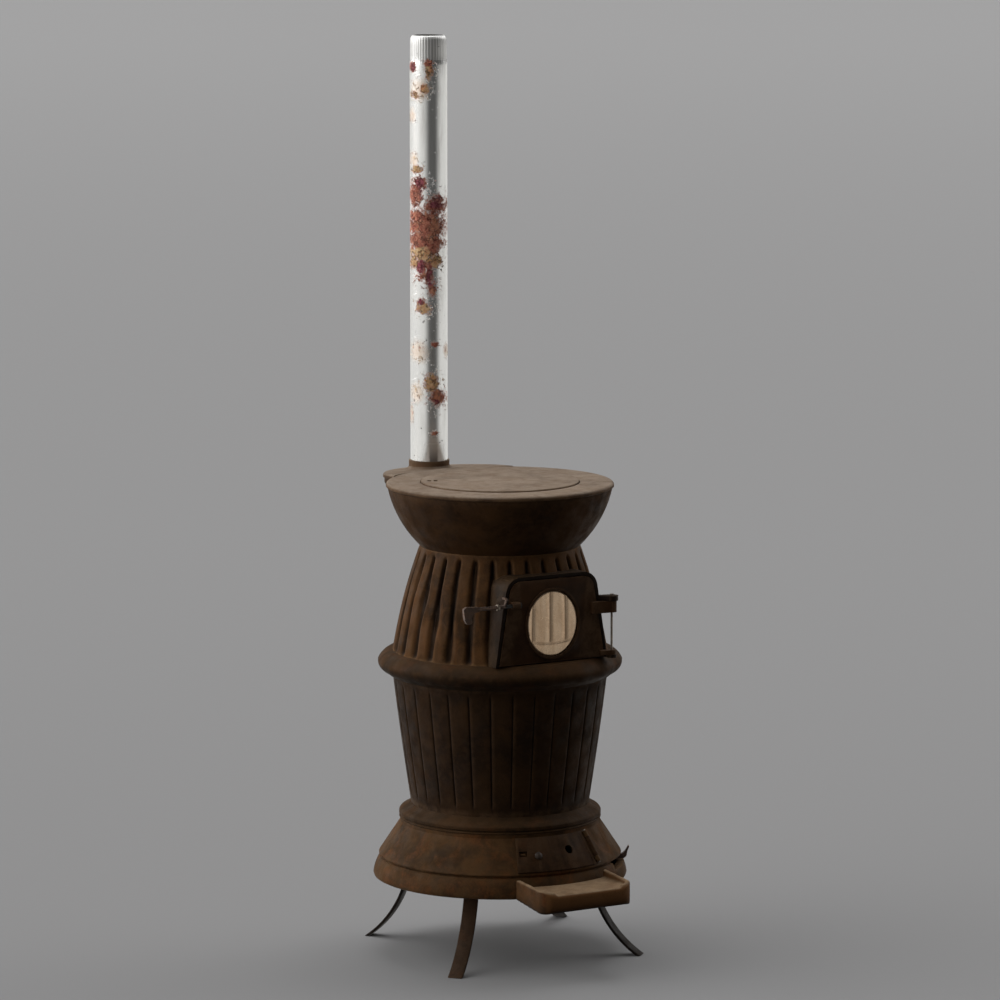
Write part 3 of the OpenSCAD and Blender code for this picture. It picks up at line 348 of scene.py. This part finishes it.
def rust_colour(g, at, red, gold, wine, torn, crumb):
    """Colour of the pipe's rust, and the cracks between its lumps."""
    cloud = g.noise(at, 48.0, 4.0, 0.6, 0.3)
    red_tone = g.mix(g.ramp(crumb, 0.36, 0.6), tone(164, 82, 68), tone(212, 134, 110))
    red_tone = g.mix(g.ramp(cloud, 0.5, 0.66), red_tone, tone(220, 150, 114))
    wine_tone = g.mix(g.ramp(crumb, 0.4, 0.6), tone(112, 38, 50), tone(182, 96, 108))
    red_tone = g.mix(g.ramp(g.plus(wine, g.both(torn, 0.4)), -0.1, 0.35), red_tone, wine_tone)
    gold_tone = g.mix(g.ramp(crumb, 0.36, 0.6), tone(216, 158, 104), tone(250, 218, 168))
    gold_tone = g.mix(g.ramp(cloud, 0.48, 0.34, 0.0, 0.85), gold_tone, tone(232, 160, 112))
    colour = g.mix(g.ramp(g.minus(gold, red), -0.16, 0.2), red_tone, gold_tone)
    shake = g.add("TexNoise", {"Vector": at, "Scale": 85.0, "Detail": 4.0}, out="Color")
    shake = g.add("VectorMath", {0: shake, 1: (0.02, 0.02, 0.02)}, operation="MULTIPLY")
    lumps = {"Vector": g.add("VectorMath", {0: at, 1: shake}, operation="ADD"), "Scale": 92.0}
    crack = g.ramp(g.add("TexVoronoi", lumps, feature="DISTANCE_TO_EDGE"), 0.02, 0.13, 1.0, 0.0)
    crack = g.both(crack, g.ramp(g.noise(at, 70.0, 3.0), 0.42, 0.58, 0.1, 1.0))
    pick = g.axis(g.add("TexVoronoi", lumps, out="Color"), 0)
    colour = g.mix(g.ramp(pick, 0.4, 1.0, 0.0, 0.4), colour, tone(238, 172, 140))
    colour = g.mix(g.both(crack, 0.75), colour, tone(84, 34, 32))
    grit = g.noise(at, 310.0, 4.0, 0.6, 0.2)
    colour = g.mix(g.ramp(grit, 0.54, 0.7, 0.0, 0.5), colour, tone(242, 206, 178))
    pits = g.plus(g.both(grit, 0.6), g.both(crumb, 0.4))
    return g.mix(g.ramp(pits, 0.36, 0.44, 0.7, 0.0), colour, tone(74, 30, 28)), crack


def enamel():
    """Polished pipe metal with crumbling rust, blushed and chipped patches, a matt foot with a dark stripe painted on
    it as a reflection, and a crimped, duller end with shade painted in its creases.
    """
    material, g, shader = new_material("enamel")
    at = g.place()
    across = g.rightward(at, FLUE_Y * MM)
    height = g.axis(at, 2)
    crumb = g.noise(at, 150.0, 6.0, 0.7, 0.5)
    torn = g.both(g.minus(g.noise(at, 58.0, 8.0, 0.68, 0.4), 0.5), 2.6)
    torn = g.plus(torn, g.both(g.minus(g.noise(at, 230.0, 6.0, 0.7, 0.3), 0.5), 2.2))
    red, gold, wine, pale = (nearness(g, across, height, spots)
                             for spots in (RED_RUST, GOLD_RUST, WINE_RUST, PALE_RUST))
    rusty = g.most(red, gold)
    mask = rust_mask(g, at, rusty, pale, torn)
    rust, crack = rust_colour(g, at, red, gold, wine, torn, crumb)

    rim = g.both(g.ramp(g.plus(rusty, torn), -0.4, -0.05), g.ramp(rusty, -1.0, -0.3))
    blush = g.both(g.ramp(g.plus(pale, g.both(torn, 0.3)), -0.3, 0.7), 0.45)
    grime = g.noise(g.stretch(at, 40.0, 40.0, 6.0), 1.0, 5.0, 0.6)
    chips = g.ramp(g.noise(at, 120.0, 4.0, 0.55, 0.3), 0.69, 0.72)
    # Painted reflection: a dark stripe down the foot, which is also made matt there
    foot = g.ramp(height, (TOP_Z + 4) * MM, (TOP_Z + 69) * MM, 1.0, 0.0)
    stripe = g.off(across, REFLECTION_BAND_ACROSS * MM)
    reflection_band = g.both(foot, g.ramp(g.plus(stripe, g.both(torn, 0.0015)), 0.006, 0.011, 1.0, 0.0))
    matt = g.both(foot, g.ramp(stripe, 0.017, 0.027, 1.0, 0.0))
    metal = g.mix(g.ramp(grime, 0.45, 0.8, 0.0, 0.4), tone(233, 233, 232), tone(190, 186, 179))
    metal = g.mix(g.both(rim, 0.6), metal, tone(222, 170, 156))
    metal = g.mix(blush, metal, tone(230, 194, 158))
    # The painted reflection at the foot
    metal = g.mix(g.both(reflection_band, 0.88), metal, tone(80, 68, 62))
    metal = g.mix(g.both(chips, 0.75), metal, tone(84, 72, 66))

    end = g.ramp(height, (PIPE_TOP - CRIMP_L - 2) * MM, (PIPE_TOP - CRIMP_L + 6) * MM)
    turn = g.math("ARCTAN2", g.axis(at, 0), g.minus(g.axis(at, 1), FLUE_Y * MM))
    # Painted shade in the creases of the crimped end
    crimp_shade = g.both(g.ramp(g.math("COSINE", g.both(turn, CRIMPS)), 0.1, 0.9), end)
    crimp_shade = g.both(crimp_shade, g.ramp(height, (PIPE_TOP - 9) * MM, (PIPE_TOP - 3) * MM, 1.0, 0.0))
    colour = g.mix(g.both(crimp_shade, 0.5), g.mix(mask, metal, rust), tone(120, 116, 110))

    dull = g.most(mask, g.both(chips, 0.8), g.both(rim, 0.5), g.both(blush, 0.5))
    gloss = g.plus(g.between(dull, 0.16, 0.85), g.ramp(grime, 0.4, 0.8, 0.0, 0.14))
    shine = g.both(g.between(dull, 0.88, 0.0), g.between(end, 1.0, 0.62))
    relief = g.minus(g.both(g.plus(crumb, 0.5), mask), g.both(g.plus(chips, g.both(crack, mask)), 0.5))
    connect(g, shader, Base_Color=colour, Roughness=g.most(gloss, g.both(end, 0.36)),
            Metallic=g.both(shine, g.between(matt, 1.0, 0.25)), Normal=g.bump(relief, 0.004, 1.0))
    return material


def mica():
    """Aged buff mica: cloudy layers, darker folds that run down it and one fold across."""
    material, g, shader = new_material("mica")
    at = g.place()
    x, height = g.axis(at, 0), g.axis(at, 2)
    across = g.plus(x, g.both(g.minus(g.noise(at, 9.0, 2.0), 0.5), 0.006))
    colour = g.mix(g.ramp(g.noise(g.stretch(at, 60.0, 60.0, 9.0), 1.0, 5.0, 0.6), 0.3, 0.72),
                   tone(240, 210, 178), tone(212, 178, 144))
    gaps = [g.off(across, line * MM) for line in MICA_LINES]
    lines = g.most(*[g.ramp(gap, 0.0011, 0.0032, 1.0, 0.0) for gap in gaps],
                   *[g.ramp(gap, 0.002, 0.009, 0.35, 0.0) for gap in gaps])
    lines = g.both(lines, g.ramp(height, (FOLD_Z + 0.5) * MM, (FOLD_Z + 8.5) * MM))
    sag = g.plus(height, g.both(g.both(x, x), -2.6))
    fold = g.ramp(g.off(sag, FOLD_Z * MM), 0.0009, 0.004, 0.55, 0.0)
    fold = g.both(fold, g.ramp(g.off(x, 0.0), 0.036, 0.05, 1.0, 0.0))
    folds = g.most(lines, fold)
    colour = g.mix(g.both(folds, 0.62), colour, tone(112, 84, 58))
    colour = g.mix(g.ramp(height, (FOLD_Z - 1.5) * MM, (FOLD_Z - 21.5) * MM, 0.0, 0.35), colour, tone(206, 186, 158))
    fine = g.noise(at, 260.0, 5.0, 0.6)
    colour = g.mix(g.ramp(fine, 0.55, 0.8, 0.0, 0.15), colour, tone(160, 122, 84))
    connect(g, shader, Base_Color=colour, Roughness=g.ramp(fine, 0.3, 0.7, 0.26, 0.38), Metallic=0.75,
            Normal=g.bump(g.minus(g.both(fine, 0.12), folds), 0.0008, 0.5))
    return material


def make_materials():
    made = {"mica": mica(), "enamel": enamel()}
    for name, *values, extras in CASTINGS:
        made[name] = cast_iron(name, *values, **extras)
    for name, *values in METALS:
        made[name] = bare_metal(name, *values)
    return made


# ---- Mesh helpers ----

def clamp(value):
    return max(0.0, min(1.0, value))


def loop_faces(mesh, rings, closed_ends=False):
    """Joins rings of vertices, each closed on itself, with quads; a ring of one vertex is a pole."""
    pairs = list(zip(rings, rings[1:]))
    if closed_ends:
        pairs.append((rings[-1], rings[0]))
    for low, high in pairs:
        n = max(len(low), len(high))
        for i in range(n):
            j = (i + 1) % n
            corners = [low[i % len(low)], low[j % len(low)], high[j % len(high)], high[i % len(high)]]
            mesh.faces.new(list(dict.fromkeys(corners)))


def fillet(points, radii, steps=5):
    """Outline through the points with each corner rounded to its own radius."""
    out = []
    for i, ((x, y), r) in enumerate(zip(points, radii)):
        if r <= 0:
            out.append((x, y))
            continue
        here = Vector((x, y))
        to_a = (Vector(points[i - 1]) - here).normalized()
        to_b = (Vector(points[(i + 1) % len(points)]) - here).normalized()
        half = to_a.angle(to_b) / 2.0
        centre = here + (to_a + to_b).normalized() * (r / math.sin(half))
        reach = r / math.tan(half)
        start = here + to_a * reach - centre
        end = here + to_b * reach - centre
        turn = start.angle_signed(end)
        for k in range(steps + 1):
            angle = -turn * k / steps
            out.append((centre.x + start.x * math.cos(angle) - start.y * math.sin(angle),
                        centre.y + start.x * math.sin(angle) + start.y * math.cos(angle)))
    return out


def arc(p, q, h, steps=10):
    """Arc from p to q that stands h off its chord, on the right of the way from p to q."""
    a, b = Vector(p), Vector(q)
    half = (b - a).length / 2.0
    r = (half * half + h * h) / (2.0 * h)
    way = (b - a).normalized()
    centre = (a + b) / 2.0 - Vector((way.y, -way.x)) * (r - h)
    start = math.atan2(a.y - centre.y, a.x - centre.x)
    span = 2.0 * math.asin(half / r)
    return [(centre.x + r * math.cos(start + span * k / steps), centre.y + r * math.sin(start + span * k / steps))
            for k in range(steps + 1)]


def to_data(name, mesh):
    """Mesh data of a bmesh with all its faces turned outwards."""
    bmesh.ops.recalc_face_normals(mesh, faces=mesh.faces)
    data = bpy.data.meshes.new(name)
    mesh.to_mesh(data)
    mesh.free()
    return data


def finish(name, data, node, material, sharp):
    """Smooth-shaded piece that stands for a node on its body; edges above the sharp angle, in degrees, stay crisp."""
    data.polygons.foreach_set("use_smooth", [True] * len(data.polygons))
    data.set_sharp_from_angle(angle=math.radians(sharp))
    data.materials.clear()
    data.materials.append(material)
    piece = link(name, data)
    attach(piece, BODY_OF[node])
    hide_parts(node)


def ring_at(mesh, columns, z, radius_of, y=0.0):
    """Ring of vertices in millimetres about an upright axis; radius_of gives the radius of each column."""
    ring = []
    for i in range(columns):
        angle = TURN * i / columns
        r = radius_of(i)
        ring.append(mesh.verts.new((r * math.sin(angle) * MM, (y - r * math.cos(angle)) * MM, z * MM)))
    return ring


def lathe(profile):
    """Closed profile of radius and height, in millimetres, turned about the stove's axis."""
    mesh = bmesh.new()
    loop_faces(mesh, [ring_at(mesh, 192, z, lambda i, r=r: r) for r, z in profile], closed_ends=True)
    return mesh


def prism(outline, y0, y1):
    """Closed prism over an outline in X and Z, between two distances in front of the axis."""
    mesh = bmesh.new()
    near, far = ([mesh.verts.new((x * MM, -y * MM, z * MM)) for x, z in outline] for y in (y0, y1))
    mesh.faces.new(near)
    mesh.faces.new(list(reversed(far)))
    for i in range(len(outline)):
        j = (i + 1) % len(outline)
        mesh.faces.new((near[j], near[i], far[i], far[j]))
    return mesh


def applied(holder):
    """Mesh data of an object with its modifiers applied; the object itself goes."""
    view = bpy.context.evaluated_depsgraph_get()
    view.update()
    data = bpy.data.meshes.new_from_object(holder.evaluated_get(view))
    bpy.data.objects.remove(holder)
    return data


def carved(base, tool):
    """Mesh data of a piece with another mesh cut from it."""
    holder = link("holder", base)
    cutter = link("cutter", tool)
    cut = holder.modifiers.new("cut", "BOOLEAN")
    cut.operation = "DIFFERENCE"
    cut.solver = "EXACT"
    cut.object = cutter
    data = applied(holder)
    bpy.data.objects.remove(cutter)
    return data


def solid_of(node):
    mesh = bmesh.new()
    mesh.from_mesh(frame["nodes"][node].data)
    bmesh.ops.remove_doubles(mesh, verts=mesh.verts, dist=2e-5)
    return mesh


def soften(node, width, material):
    """Copy of a node's solid whose long hard edges are rounded as cast or worn metal is."""
    name = "cast_" + node
    mesh = solid_of(node)
    bmesh.ops.dissolve_limit(mesh, angle_limit=math.radians(0.8), verts=mesh.verts, edges=mesh.edges)
    hard = [e for e in mesh.edges if len(e.link_faces) == 2 and e.calc_face_angle(0.0) > math.radians(30.0)
            and e.calc_length() > 1.6 * width * MM]
    bmesh.ops.bevel(mesh, geom=hard, offset=width * MM, offset_type="OFFSET", segments=2, profile=0.5,
                    clamp_overlap=True, affect="EDGES")
    finish(name, to_data(name, mesh), node, material, 38.0)


def wear_round(node, grain, rounds, material):
    """Copy of a node's solid with its edges and corners worn well round, as on a rough old casting."""
    holder = link("holder", to_data("holder", solid_of(node)))
    fine = holder.modifiers.new("fine", "REMESH")
    fine.mode = "VOXEL"
    fine.voxel_size = grain * MM
    even = holder.modifiers.new("even", "SMOOTH")
    even.factor = 0.5
    even.iterations = rounds
    finish("cast_" + node, applied(holder), node, material, 80.0)


# ---- Pieces ----

def barrel_crest(t):
    """Radius of the barrel's ribs at a share of its height: a curve with a set slope at its foot and neck."""
    return ((2 * t ** 3 - 3 * t ** 2 + 1) * BARREL_FOOT_R
            - (t ** 3 - 2 * t ** 2 + t) * BARREL_H * BARREL_FOOT_SLOPE
            + (3 * t ** 2 - 2 * t ** 3) * BARREL_NECK_R
            - (t ** 3 - t ** 2) * BARREL_H * BARREL_NECK_SLOPE)


def door_outline(grow, foot):
    """Outline of the feed door grown on all sides, with its foot at a height."""
    lean = (DOOR_FOOT_W - DOOR_TOP_W) / DOOR_H
    w0 = DOOR_FOOT_W - (foot - DOOR_Z) * lean + grow
    w1 = DOOR_TOP_W + grow
    top = DOOR_Z + DOOR_H + grow
    r = DOOR_CORNER + grow
    return fillet([(-w0, foot), (w0, foot), (w1, top), (-w1, top)], [0, 0, r, r], 10)


def flute(x, z, crest):
    """Depth of the groove at a share x of the pitch and a height z above the barrel's foot."""
    pitch = TURN * crest / FLUTE_N
    half = (0.3 - 0.1 * (z / BARREL_H) ** 2) * pitch
    low = FLUTE_FOOT + 0.3 * half
    high = BARREL_H - FLUTE_TOP - 1.2 * half
    past = max(0.0, low - z, (z - high) / 1.8)
    edge = min(x, 1.0 - x)
    away = math.hypot(edge * pitch, past) / half
    bow = 1.1 * max(0.0, 1.0 - 2.0 * edge) ** 2
    bow *= clamp(min(z - low + 0.3 * half, high + 0.6 * half - z) / half)
    return FLUTE_DEPTH * (0.5 + 0.5 * math.cos(math.pi * min(away, 1.0))) + bow


def sway(rib, z):
    """Sideways drift of a hand-moulded flute, in columns."""
    drift = 1.4 * math.sin(1.7 * rib + z / 46.0) + 0.6 * math.sin(2.9 * rib + z / 17.0)
    return drift * math.sin(math.pi * clamp(z / BARREL_H))


def make_barrel(material):
    per, rows = 16, 72
    columns = FLUTE_N * per
    mesh = bmesh.new()
    rings = []
    for k in range(rows + 1):
        z = BARREL_H * k / rows
        crest = barrel_crest(k / rows)
        rings.append(ring_at(mesh, columns, BARREL_Z + z,
                             lambda i, c=crest, z=z: c - flute(((i + sway(i // per, z)) % per) / per, z, c)))
    for k in range(8, -1, -1):
        crest = barrel_crest(k / 8)
        rings.append(ring_at(mesh, columns, BARREL_Z + BARREL_H * k / 8, lambda i, c=crest: c - BARREL_WALL))
    loop_faces(mesh, rings, closed_ends=True)
    doorway = prism(door_outline(FRAME_W, BARREL_Z - 1.0), 100.0, 260.0)
    data = carved(to_data("barrel", mesh), to_data("doorway", doorway))
    finish("fluted_wall", data, "fluted_barrel", material, 50.0)


def make_pot(material):
    across = (0.0, 0.02, 0.045, 0.09, 0.2, 0.5, 0.8, 0.91, 0.955, 0.98)
    depth = (1.0, 0.85, 0.4, 0.12, 0.0, 0.0, 0.0, 0.12, 0.4, 0.85)
    shares = [0.0, 0.045, 0.06, 0.07, 0.08, 0.09] + [0.1 + 0.8 * k / 20 for k in range(21)]
    shares += [0.91, 0.92, 0.93, 0.945, 0.96, 1.0]
    mesh = bmesh.new()
    rings = []
    for t in shares:
        crest = POT_FOOT_R + (POT_TOP_R - POT_FOOT_R) * t + 1.2 * math.sin(math.pi * t)
        level = clamp(min(t - 0.06, 0.945 - t) / 0.035)
        ring = []
        for n in range(FLUTE_N):
            for x, d in zip(across, depth):
                angle = TURN * (n + x) / FLUTE_N
                r = crest - POT_GROOVE * d * level
                ring.append(mesh.verts.new((r * math.sin(angle) * MM, -r * math.cos(angle) * MM,
                                            (POT_Z + (SEAT_Z - POT_Z) * t) * MM)))
        rings.append(ring)
    for r, z in ((POT_TOP_R - POT_WALL, SEAT_Z), (POT_FOOT_R - POT_WALL, POT_Z)):
        rings.append(ring_at(mesh, FLUTE_N * len(across), z, lambda i, r=r: r))
    loop_faces(mesh, rings, closed_ends=True)
    finish("staved_pot", to_data("staved_pot", mesh), "fire_pot", material, 50.0)


def make_belly_ring(material):
    bore = POT_TOP_R - POT_WALL
    profile = [(bore, SEAT_Z), (POT_TOP_R + 1, SEAT_Z), (POT_TOP_R + 1, SEAT_Z - 5.2),
               (POT_TOP_R + 1.8, SEAT_Z - 6), (POT_TOP_R + 3.4, SEAT_Z - 6), (POT_TOP_R + 6.5, SEAT_Z - 4.6)]
    profile += arc((POT_TOP_R + 16, SEAT_Z + 3), (BELLY_R, SEAT_Z + 19), 3.0)
    profile += arc((BELLY_R, SEAT_Z + 24), (POT_TOP_R + 6, BARREL_Z), 3.2, 14)
    profile += [(bore - 22, BARREL_Z), (bore - 22, BARREL_Z - 9)]
    finish("belly_band", to_data("belly_band", lathe(profile)), "belly_ring", material, 40.0)


def make_top_plate(material):
    inner = LID_R - LID_LEDGE
    hole = LID_R + LID_GAP
    seat = TOP_Z - 6.0
    points = [(inner, PLATE_Z - 6), (LID_R + 5, PLATE_Z - 6), (LID_R + 5, PLATE_Z), (PLATE_R - 3, PLATE_Z),
              (PLATE_R, PLATE_Z + 2), (PLATE_R, TOP_Z), (hole, TOP_Z), (hole, seat), (inner, seat)]
    profile = fillet(points, [0.8, 1.2, 0, 1.2, 1.2, 6.0, 1.4, 0, 1.2])
    finish("top_casting", to_data("top_casting", lathe(profile)), "top_plate", material, 40.0)


def make_pipe(material):
    """Pipe with a seam down its far side, stepped in and crimped at its top."""
    columns = 4 * CRIMPS

    def outer(i, level):
        around = 360.0 * i / columns
        seam = 0.55 if 148.0 < around < 158.0 and level < 0.05 else 0.0
        ripple = 0.45 * (1.0 + math.cos(TURN * CRIMPS * i / columns)) * min(1.0, level)
        return PIPE_R - CRIMP_STEP * level - ripple + seam

    step = PIPE_L - CRIMP_L
    heights = [(step * k / 24, 0.0) for k in range(24)]      # height up the pipe, and how far it has stepped in
    heights += [(step - 7, 0.0), (step - 2, 0.12), (step + 3, 0.4), (step + 8, 0.7), (step + 14, 0.7),
                (step + 34, 0.7), (PIPE_L - 9, 0.9), (PIPE_L - 5, 1.5), (PIPE_L - 2, 2.6), (PIPE_L - 0.5, 3.7),
                (PIPE_L, 4.6)]
    mesh = bmesh.new()
    rings = [ring_at(mesh, columns, PIPE_Z + z, lambda i, l=level: outer(i, l), FLUE_Y) for z, level in heights]
    rings += [ring_at(mesh, columns, PIPE_Z + z, lambda i, l=level: outer(i, l) - PIPE_WALL, FLUE_Y)
              for z, level in reversed(heights)]
    loop_faces(mesh, rings, closed_ends=True)
    finish("flue_pipe", to_data("flue_pipe", mesh), "stove_pipe", material, 45.0)


def make_mica(material):
    """Pane whose face carries shallow folds where the sheets of mica have cockled."""
    columns = 96
    back = MICA_Y - MICA_DEEP + 0.05
    mesh = bmesh.new()
    face = []
    for share in [0.895 * k / 24 for k in range(25)] + [0.906, 0.914, 0.92, 1.0]:
        inside = clamp((0.9 - share) / 0.1)
        dome = clamp((0.92 - share) / 0.025)
        ring = []
        for i in range(columns if share else 1):
            angle = TURN * i / columns
            x = (MICA_W + MICA_RIM) * share * math.cos(angle)
            z = WINDOW_Z + (MICA_H + MICA_RIM) * share * math.sin(angle)
            fold = sum(math.exp(-((x - line) / 4.0) ** 2) for line in MICA_LINES)
            fold *= clamp((z - FOLD_Z + 1.5) / 8.0)
            y = back + 1.4 + 2.9 * dome * dome * (3.0 - 2.0 * dome) - 0.55 * inside * min(1.0, fold)
            ring.append(mesh.verts.new((x * MM, -y * MM, z * MM)))
        face.append(ring)
    rear = [mesh.verts.new((v.co.x, -back * MM, v.co.z)) for v in face[-1]]
    loop_faces(mesh, face + [rear])
    mesh.faces.new(rear)
    finish("mica_sheet", to_data("mica_sheet", mesh), "mica_pane", material, 60.0)


# ---- Floor, world and lamps ----

FLOOR_HALF, FLOOR_Z = 60.0, -0.0005      # metres
FLOOR_NEAR, FLOOR_MID, FLOOR_FAR = tone(128, 128, 129), tone(135, 135, 136), tone(147, 147, 148)
FLOOR_BOUNCE = tone(72, 70, 68)          # what the floor throws back on the stove

# The floor glows for glossy rays as painted reflections, pale with a dark part: its middle, half-width and end, from
# the way to the viewer
DARK_MIDDLE, DARK_HALF, DARK_END = math.radians(24.0), math.radians(15.0), math.radians(58.0)

# Soft lights of the world: direction as seen_way takes it, how tight the light is, and its strength
WORLD_LIGHTS = (
    (-1.0, -0.1, 0.3, 3.0, 3.4),
    (0.82, -0.55, 0.6, 12.0, 2.8),
    (-0.2, -0.1, 1.0, 2.0, 0.3),
)
WORLD_BASE = 0.04
SUN_WAY, SUN_STRENGTH, SUN_WIDTH = (0.03, -0.4, 1.0), 1.0, math.radians(30.0)


def make_floor():
    """Grey floor that pales with distance; to glossy rays it glows instead, pale with a dark part, as painted
    reflections.
    """
    data = bpy.data.meshes.new("floor")
    corners = [(x * FLOOR_HALF, y * FLOOR_HALF, FLOOR_Z) for x, y in ((-1, -1), (1, -1), (1, 1), (-1, 1))]
    data.from_pydata(corners, [], [(0, 1, 2, 3)])
    link("floor", data)
    material, g, shader = new_material("floor")
    data.materials.append(material)
    at = g.place()
    depth = g.plus(g.both(g.axis(at, 0), math.sin(YAW)), g.both(g.axis(at, 1), math.cos(YAW)))
    colour = g.mix(g.ramp(depth, -2.0, 6.0), FLOOR_NEAR, FLOOR_MID)
    colour = g.mix(g.ramp(depth, 4.0, 34.0), colour, FLOOR_FAR)
    colour = g.mix(g.add("LightPath", out="Is Camera Ray"), FLOOR_BOUNCE, colour)
    connect(g, shader, Base_Color=colour, Roughness=0.9, Specular_IOR_Level=0.1)
    # Painted reflections: what glossy rays see of the floor is a glow, pale with a dark part
    turn = g.math("ARCTAN2", g.rightward(at), g.both(depth, -1.0))
    level = g.ramp(g.off(turn, DARK_MIDDLE), DARK_HALF, DARK_END, 0.1, 0.82)
    reflection_glow = g.add("Emission", {0: g.mix(level, tone(0, 0, 0), tone(255, 254, 250))})
    final = g.add("MixShader", {0: g.add("LightPath", out="Is Glossy Ray"), 1: shader.outputs[0], 2: reflection_glow})
    g.tree.links.new(final, g.tree.nodes["Material Output"].inputs["Surface"])


def make_world():
    world = bpy.data.worlds.new("world")
    bpy.context.scene.world = world
    world.use_nodes = True
    g = Graph(world.node_tree)
    way = g.add("TexCoord", out="Generated")
    total = None
    for *aim, tight, strength in WORLD_LIGHTS:
        dot = g.add("VectorMath", {0: way, 1: tuple(seen_way(*aim))}, out="Value", operation="DOT_PRODUCT")
        glow = g.both(g.math("POWER", g.most(dot, 0.0), tight), strength)
        total = glow if total is None else g.plus(total, glow)
    back = world.node_tree.nodes["Background"]
    connect(g, back, Strength=g.plus(total, WORLD_BASE), Color=(1.0, 0.99, 0.975, 1.0))


def add_sun():
    sun = link("key", bpy.data.lights.new("key", "SUN"))
    sun.data.energy = SUN_STRENGTH
    sun.data.angle = SUN_WIDTH
    sun.rotation_euler = seen_way(*SUN_WAY).to_track_quat("Z", "Y").to_euler()


# ---- Assembly ----

add_camera()
materials = make_materials()
make_floor()
make_world()
add_sun()

make_barrel(materials["barrel"])
make_pot(materials["pot"])
make_belly_ring(materials["belt"])
make_top_plate(materials["iron_dusty"])
make_pipe(materials["enamel"])
make_mica(materials["mica"])
wear_round("hearth_shelf", 2.2, 14, materials["shelf"])

# Nodes that keep their solid's shape: node, width of its rounded edges in millimetres, and material
SOFTENED = (
    ("ash_base", 2.6, "base"), ("ash_door", 1.0, "ash_door"),
    ("grate_ring", 1.2, "belt"), ("door_frame", 1.6, "frame"), ("feed_door", 1.2, "door"),
    ("mica_retainer", 0.5, "forged_iron"), ("upper_bowl", 1.0, "iron_body"), ("smoke_box", 1.0, "iron_body"),
    ("flue_plate", 1.6, "iron_dusty"), ("cook_lid", 1.2, "iron_dusty"), ("grate", 1.2, "iron_sooty"),
    ("shaker_lever", 1.4, "forged_iron"), ("feed_latch", 1.8, "latch_iron"), ("ash_latch", 0.8, "worn_iron"),
    ("latch_collar", 0.7, "steel"), ("leg_bolts", 0.8, "steel"), ("shelf_bolts", 0.7, "steel"),
    # The legs that stand in shade take dark_legs, with painted shade
    ("leg_front_left", 1.4, "iron_legs"), ("leg_front_right", 1.4, "dark_legs"),
    ("leg_rear_right", 1.4, "dark_legs"), ("leg_rear_left", 1.4, "dark_legs"),
    ("ash_hinge_pin", 0.5, "steel"), ("shaker_rivets", 0.4, "steel"), ("retainer_screws", 0.3, "steel"),
    ("feed_hinge_pin", 0.4, "steel"),
)
for node, width, material in SOFTENED:
    soften(node, width, materials[material])

for node, solid in frame["nodes"].items():
    solid.data.materials.clear()
    solid.data.materials.append(materials[SLOT_OF[node]])

bpy.context.scene.view_settings.view_transform = "Standard"
